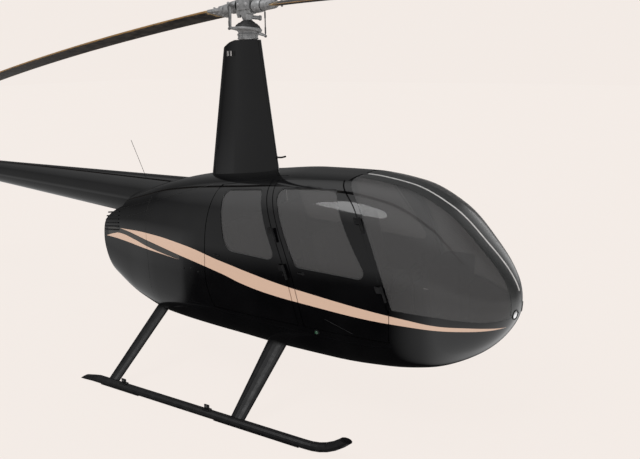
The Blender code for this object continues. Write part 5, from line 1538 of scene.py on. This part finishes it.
def make_tail_rotor():
    """Two tail rotor blades with aerofoil sections, on their hub with pitch horns and slider."""
    z = TAIL_AXIS[2]
    lean = Matrix.Translation((TAIL_ROTOR_X, TAIL_ROTOR_Y, z)) @ Matrix.Rotation(TAIL_LEAN, 4, "Y")
    blades = []
    for turn in (0, math.pi):
        rings = []
        for r, chord, thick in TAIL_SECTIONS:
            ring = []
            for c, s in circle(28):
                tail = 0.45 + 0.55 * (1 + c) / 2 if r > 0.15 else 1.0
                ring.append((chord * (c / 2 - 0.2), thick / 2 * s * tail, r))
            rings.append(ring)
        blades.append(moved(loft(rings), lean @ Matrix.Rotation(turn, 4, "Y")))
    built("tail_blades", blades, "tail_blade", "blade_paint", "tail_rotor", body="tail_rotor")
    half = TAIL_HUB
    shapes = [soft_slab((-half, -half / 2, -half), (half, half / 2, half), 0.008)]
    profile = [(0, 0.021), (0.020, 0.022), (0.024, 0.030), (0.040, 0.030), (0.044, 0.022), (0.155, 0.021)]
    shapes.append(lathe(profile, (0, 0.120 + SEAT_GAP - TAIL_ROTOR_Y, 0), (0, 1, 0), 28))
    for way in (-1, 1):
        shapes.append(rod((0.036, -0.005, way * 0.02), (0.036, -0.005, way * 0.13), 0.009, 16))
        shapes.append(rod((0.036, -0.005, way * 0.125), (0.012, -0.075, way * 0.035), 0.005, 14))
        shapes.append(rod((-half + 0.002, 0, way * 0.028), (half - 0.002, 0, way * 0.028), 0.0245, 20))
    built("tail_hub", [moved(merged(shapes), lean)], "cast", "alloy", body="tail_rotor")


# Landing gear

SKID_Y = 1.09
SKID_TOP_Z = 0.072
LUGS_X = (-0.655, 0.255)


def make_gear():
    """Skids and legs, with the lugs for handling wheels and their bolts."""
    for word, side in SIDES.items():
        dress(f"skid_{word}", "satin")
        for row in ("front", "rear"):
            dress(f"leg_{row}_{word}", "satin")
        y = side * SKID_Y
        lugs = []
        bolts = []
        for x in LUGS_X:
            low = SKID_TOP_Z - 0.010
            lugs.append(soft_slab((x - 0.024, y - 0.006, low), (x + 0.024, y + 0.006, 0.112), 0.004))
            low, high = SKID_TOP_Z - 0.008, SKID_TOP_Z + 0.003
            lugs.append(soft_slab((x - 0.034, y - 0.022, low), (x + 0.034, y + 0.022, high), 0.003))
            for way in (-1, 1):
                bolts.append(bolt((x, y + way * 0.006, 0.098), (0, way, 0), 0.008, 0.006))
                bolts.append(bolt((x + way * 0.029, y, SKID_TOP_Z + 0.003), (0, 0, 1), 0.005, 0.004))
        built(f"skid_lugs_{word}", lugs, "satin")
        built(f"skid_bolts_{word}", bolts, "steel", "alloy")


ENGINE_FRONT_X = -0.22
ENGINE_AFT_X = -0.92
CYLINDERS_X = (-0.36, -0.56, -0.76)
INTAKE_PATH = ((0.10, 0.93), (0.20, 0.955), (0.275, 0.88), (0.275, 0.81))
SILENCER = (-0.62, 0.40, 0.56, 0.085)
FAN = {"z": 0.98, "front": -1.10, "aft": -1.33, "radius": 0.235, "bore": 0.90, "thick": 0.012,
       "sides": 48, "vanes": 22}


def make_engine_bay():
    """Finned engine with its exhaust and intake pipes, bladed fan, grille with its mesh, and the shelf."""
    dress("aft_grille", "satin")
    dress("aft_bulkhead", "satin")
    case = [soft_slab((ENGINE_AFT_X, -0.15, 0.60), (ENGINE_FRONT_X, 0.15, 0.90), 0.030)]
    case.append(soft_slab((ENGINE_AFT_X + 0.06, -0.12, 0.505), (ENGINE_FRONT_X - 0.08, 0.12, 0.64), 0.020))
    fins = []
    pipes = []
    heat = []
    for side in (RIGHT, LEFT):
        for x in CYLINDERS_X:
            profile = [(0, 0.060)]
            for k in range(9):
                at = 0.012 + 0.012 * k
                profile += [(at, 0.058), (at + 0.002, 0.080), (at + 0.005, 0.080), (at + 0.007, 0.058)]
            profile += [(0.125, 0.060), (0.128, 0.075), (0.158, 0.072), (0.168, 0.050)]
            fins.append(lathe(profile, (x, side * 0.148, 0.75), (x, side, 0.75), 32))
            path = [(x + 0.03, side * y, z) for y, z in INTAKE_PATH]
            pipes.append(pipe(smooth_line(path, 14), 0.019))
            path = [(x - 0.03, side * 0.275, 0.70), (x - 0.03, side * 0.295, 0.63),
                    (x - 0.035, side * 0.29, 0.58), (SILENCER[0], side * 0.27, 0.565)]
            heat.append(pipe(smooth_line(path, 14), 0.020))
    pipes.append(soft_slab((-0.86, -0.10, 0.905), (-0.28, 0.10, 0.965), 0.018))
    x, half, z, radius = SILENCER
    muffler = [(0, 0.020), (0.004, 0.070), (0.016, radius - 0.002), (2 * half - 0.016, radius - 0.002),
               (2 * half - 0.004, 0.070), (2 * half, 0.020)]
    heat.append(lathe(muffler, (x, -half, z), (x, 1, z), 40))
    built("engine_case", case, "engine", "engine_metal", "engine_block", angle=50)
    built("engine_cylinders", fins, "cast", "engine_metal")
    built("engine_intakes", pipes, "steel", "engine_metal")
    built("engine_exhaust", heat, "heat", "engine_metal")
    z, front, aft, radius = FAN["z"], FAN["front"], FAN["aft"], FAN["radius"]
    hub = [(0, 0.060), (0.010, 0.070), (0.225, 0.074), (0.2298, 0.060)]
    wheel = [lathe(hub, (front, 0, z), (-2, 0, z), 32)]
    sides, thick = FAN["sides"], FAN["thick"]
    for place in (front, aft + thick):
        ring = [(place, y, z + up) for y, up in circle(sides, radius)]
        inner = [(place, p[1] * FAN["bore"], z + (p[2] - z) * FAN["bore"]) for p in ring]
        near = ring + inner
        points = near + [(p[0] - thick, p[1], p[2]) for p in near]
        turns = [(k, (k + 1) % sides) for k in range(sides)]
        faces = [(k, n, sides + n, sides + k) for k, n in turns]
        faces += [tuple(2 * sides + v for v in face[::-1]) for face in faces]
        faces += [(k, 2 * sides + k, 2 * sides + n, n) for k, n in turns]
        faces += [(sides + k, sides + n, 3 * sides + n, 3 * sides + k) for k, n in turns]
        wheel.append((points, faces))
    vane = slab((aft + 0.004, -0.0025, 0.070), (front - 0.004, 0.0025, radius - thick))
    for k in range(FAN["vanes"]):
        spin = Matrix.Rotation(2 * math.pi * k / FAN["vanes"], 4, "X")
        wheel.append(moved(vane, Matrix.Translation((0, 0, z)) @ spin))
    wheel.append(rod((ENGINE_AFT_X - 0.0205, 0, z), (front + 0.002, 0, z), 0.030, 24))
    built("fan_wheel", wheel, "cast", "alloy", "cooling_fan")
    wires = []
    for k in range(-14, 15):
        y = k * 0.022
        low = 0.800 if abs(y) < 0.235 else 0.875
        wires.append(rod((-1.3745, y, low - 0.004), (-1.3745, y, 1.154), 0.0012, 6))
    for k in range(15):
        z_at = 0.812 + k * 0.0238
        reach = 0.235 if z_at < 0.872 else 0.308
        wires.append(rod((-1.3765, -reach, z_at), (-1.3765, reach, z_at), 0.0012, 6))
    built("grille_mesh", wires, "steel", "satin_black")


# Stage

CAMERA_AZIMUTH = math.radians(30.0)
CAMERA_ELEVATION = math.radians(14.6)
CAMERA_ROLL = math.radians(-0.56)
CAMERA_DISTANCE = 5.690
CAMERA_TARGET = (0.700, -0.029, 1.361)
CAMERA_LENS = 37.67


def make_camera():
    """Camera at the photograph's place and angle."""
    data = bpy.data.cameras.new("camera")
    data.sensor_fit = "HORIZONTAL"
    data.sensor_width = 36.0
    data.lens = CAMERA_LENS
    data.clip_end = 500.0
    made = bpy.data.objects.new("camera", data)
    bpy.context.scene.collection.objects.link(made)
    a = CAMERA_AZIMUTH
    e = CAMERA_ELEVATION
    back = Vector((math.sin(a) * math.cos(e), -math.cos(a) * math.cos(e), math.sin(e)))
    right = Vector((math.cos(a), math.sin(a), 0))
    up = back.cross(right)
    rolled_right = right * math.cos(CAMERA_ROLL) + up * math.sin(CAMERA_ROLL)
    rolled_up = up * math.cos(CAMERA_ROLL) - right * math.sin(CAMERA_ROLL)
    place = Vector(CAMERA_TARGET) + Vector((MAST_X, 0, 0)) + back * CAMERA_DISTANCE
    turn = Matrix((rolled_right, rolled_up, back)).transposed().to_4x4()
    made.matrix_world = Matrix.Translation(place) @ turn
    bpy.context.scene.camera = made


def make_stage(settings):
    """Pale glowing floor, a sky with even light and plain reflections, and a soft sun."""
    size = 60.0
    mesh = bpy.data.meshes.new("floor")
    corners = [(-size, -size, 0), (size, -size, 0), (size, size, 0), (-size, size, 0)]
    mesh.from_pydata(corners, [], [(0, 1, 2, 3)])
    floor = bpy.data.objects.new("floor", mesh)
    bpy.context.scene.collection.objects.link(floor)
    finish = new_material("floor_paper", (0.03, 0.03, 0.03), 0.9, Specular_IOR_Level=0.0,
                          Emission_Color=(*settings.floor_colour, 1.0), Emission_Strength=0.975)
    n = Nodes(finish)
    n.colour(n.mix(n.noise(0.8, 4.0), (0.030, 0.029, 0.028), (0.026, 0.025, 0.024)))
    mesh.materials.append(finish)
    floor.visible_glossy = False

    world = bpy.data.worlds.new("sky")
    bpy.context.scene.world = world
    world.use_nodes = True
    world.node_tree.nodes.clear()
    n = Nodes(world, "Generated")

    def shine(colour, strength=1.0):
        node = n.tree.nodes.new("ShaderNodeBackground")
        n.feed(node.inputs["Color"], (*colour, 1.0) if isinstance(colour, tuple) else colour)
        n.feed(node.inputs["Strength"], strength)
        return node.outputs[0]

    def choose(ray, otherwise, chosen):
        node = n.tree.nodes.new("ShaderNodeMixShader")
        for socket, value in zip(node.inputs, (path.outputs[ray], otherwise, chosen)):
            n.feed(socket, value)
        return node.outputs[0]

    path = n.tree.nodes.new("ShaderNodeLightPath")
    x, y, z = n.split(n.place)
    near = n.math("SUBTRACT", n.math("MULTIPLY", x, 0.5), n.math("MULTIPLY", y, 0.866))
    low_sky = n.math("MULTIPLY", n.ramp(z, -0.31, -0.21, 0.0, 0.55), n.ramp(near, -0.35, 0.25, 0.16, 1.0))
    sky = n.math("ADD", low_sky, n.ramp(z, 0.45, 0.85, 0.0, 0.90))
    ahead = n.math("MULTIPLY", n.ramp(x, -0.12, 0.32, 0.0, 1.5), n.ramp(z, -0.10, -0.45, 0.0, 1.0))
    behind = n.math("MULTIPLY", n.ramp(x, -0.73, -0.77, 0.0, 0.5), n.ramp(z, -0.05, -0.25, 0.0, 1.0))
    across = n.math("MULTIPLY", n.ramp(y, 0.935, 0.965, 0.0, 1.2), n.ramp(x, 0.0, 0.10, 0.0, 1.0))
    across = n.math("MULTIPLY", across, n.ramp(z, -0.16, -0.06, 0.0, 1.0))
    mirrored = n.math("ADD", n.math("ADD", sky, n.math("ADD", across, 0.015)), n.math("ADD", ahead, behind))
    lit = shine(tuple(settings.sky_colour), settings.sky_strength)
    seen = shine(tuple(settings.backdrop_colour))
    shown = choose("Is Camera Ray", choose("Is Glossy Ray", lit, shine((1.0, 1.0, 1.0), mirrored)), seen)
    n.feed(n.tree.nodes.new("ShaderNodeOutputWorld").inputs[0], shown)

    sun = bpy.data.lights.new("soft_sun", "SUN")
    sun.energy = settings.sun_strength
    sun.angle = math.radians(25)
    made = bpy.data.objects.new("soft_sun", sun)
    bpy.context.scene.collection.objects.link(made)
    made.rotation_euler = (math.radians(28), math.radians(-18), 0)
    bpy.context.scene.view_settings.view_transform = "Standard"


# Add-on

class HelicopterColours(bpy.types.PropertyGroup):
    """Colours of the finishes."""

    stripe_colour: FloatVectorProperty(
        name="Stripe", description="Colour of the stripe", subtype="COLOR", default=(0.66, 0.47, 0.36),
        min=0, max=1)
    band_colour: FloatVectorProperty(
        name="Band", description="Colour of the thin band under the stripe's tail", subtype="COLOR",
        default=(0.034, 0.033, 0.030), min=0, max=1)
    glass_colour: FloatVectorProperty(
        name="Glass", description="Tint of the windows", subtype="COLOR", default=(0.070, 0.070, 0.071),
        min=0, max=1)
    glass_alpha: FloatProperty(
        name="Glass density", description="How much the glass hides", default=0.66, min=0, max=1,
        subtype="FACTOR")
    floor_colour: FloatVectorProperty(
        name="Floor", description="Colour of the floor", subtype="COLOR", default=(0.896, 0.831, 0.787),
        min=0, max=1)
    backdrop_colour: FloatVectorProperty(
        name="Backdrop", description="Colour behind the machine", subtype="COLOR",
        default=(0.896, 0.831, 0.787), min=0, max=1)
    sky_colour: FloatVectorProperty(
        name="Sky", description="Colour of the even light", subtype="COLOR", default=(1.0, 0.99, 0.98),
        min=0, max=1)
    sky_strength: FloatProperty(
        name="Sky strength", description="Strength of the even light", default=0.85, min=0, max=10)
    sun_strength: FloatProperty(
        name="Sun strength", description="Strength of the soft sun", default=0.9, min=0, max=20)


class HELICOPTER_OT_body_panels(bpy.types.Operator):
    """Nose, belly, roof, sides, cowls and posts"""

    bl_idname = "helicopter.body_panels"
    bl_label = "Body Panels"

    def execute(self, context):
        make_body_panels()
        make_body_details()
        return {"FINISHED"}


class HELICOPTER_OT_windshield(bpy.types.Operator):
    """Windshield panes and the strip between them"""

    bl_idname = "helicopter.windshield"
    bl_label = "Windshield"

    def execute(self, context):
        make_windshield()
        return {"FINISHED"}


class HELICOPTER_OT_doors(bpy.types.Operator):
    """Doors with windows, seals, hinges and handles"""

    bl_idname = "helicopter.doors"
    bl_label = "Doors"

    def execute(self, context):
        make_doors()
        return {"FINISHED"}


class HELICOPTER_OT_cabin(bpy.types.Operator):
    """Console, stick, pedals, floor and seat boxes"""

    bl_idname = "helicopter.cabin"
    bl_label = "Cabin"

    def execute(self, context):
        make_cabin()
        return {"FINISHED"}


class HELICOPTER_OT_seats(bpy.types.Operator):
    """Padded seats"""

    bl_idname = "helicopter.seats"
    bl_label = "Seats"

    def execute(self, context):
        make_seats()
        return {"FINISHED"}


class HELICOPTER_OT_mast(bpy.types.Operator):
    """Mast fairing and swashplate"""

    bl_idname = "helicopter.mast"
    bl_label = "Mast"

    def execute(self, context):
        make_mast()
        make_swashplate()
        return {"FINISHED"}


class HELICOPTER_OT_rotor(bpy.types.Operator):
    """Rotor head and blades"""

    bl_idname = "helicopter.rotor"
    bl_label = "Main Rotor"

    def execute(self, context):
        make_head()
        make_blades()
        return {"FINISHED"}


class HELICOPTER_OT_tail(bpy.types.Operator):
    """Boom, fins, gearbox, guard and tail rotor"""

    bl_idname = "helicopter.tail"
    bl_label = "Tail"

    def execute(self, context):
        make_tail()
        return {"FINISHED"}


class HELICOPTER_OT_engine_bay(bpy.types.Operator):
    """Engine, cooling fan and aft grille"""

    bl_idname = "helicopter.engine_bay"
    bl_label = "Engine Bay"

    def execute(self, context):
        make_engine_bay()
        return {"FINISHED"}


class HELICOPTER_OT_gear(bpy.types.Operator):
    """Skids and legs"""

    bl_idname = "helicopter.gear"
    bl_label = "Landing Gear"

    def execute(self, context):
        make_gear()
        return {"FINISHED"}


class HELICOPTER_OT_stage(bpy.types.Operator):
    """Camera, floor and light"""

    bl_idname = "helicopter.stage"
    bl_label = "Stage"

    def execute(self, context):
        make_camera()
        make_stage(context.scene.helicopter_colours)
        return {"FINISHED"}


STEPS = (HELICOPTER_OT_stage, HELICOPTER_OT_body_panels, HELICOPTER_OT_windshield, HELICOPTER_OT_doors,
         HELICOPTER_OT_cabin, HELICOPTER_OT_seats, HELICOPTER_OT_mast, HELICOPTER_OT_rotor,
         HELICOPTER_OT_tail, HELICOPTER_OT_engine_bay, HELICOPTER_OT_gear)


class HELICOPTER_PT_sidebar(bpy.types.Panel):
    """Steps and colours in the sidebar"""

    bl_idname = "HELICOPTER_PT_sidebar"
    bl_label = "Helicopter"
    bl_space_type = "VIEW_3D"
    bl_region_type = "UI"
    bl_category = "Helicopter"

    def draw(self, context):
        colours = context.scene.helicopter_colours
        for name in colours.bl_rna.properties.keys():
            if name.endswith(("colour", "alpha", "strength")):
                self.layout.prop(colours, name)
        for step in STEPS:
            self.layout.operator(step.bl_idname)


CLASSES = (HelicopterColours, *STEPS, HELICOPTER_PT_sidebar)


def register():
    """Register the classes and the scene's settings."""
    for each in CLASSES:
        bpy.utils.register_class(each)
    bpy.types.Scene.helicopter_colours = PointerProperty(type=HelicopterColours)


def unregister():
    """Take the classes and settings away again."""
    del bpy.types.Scene.helicopter_colours
    for each in reversed(CLASSES):
        bpy.utils.unregister_class(each)


def main():
    """Dress the whole machine."""
    register()
    FINISH.update(make_materials(bpy.context.scene.helicopter_colours))
    for step in STEPS:
        group, name = step.bl_idname.split(".")
        getattr(getattr(bpy.ops, group), name)()


if __name__ == "__main__":
    main()
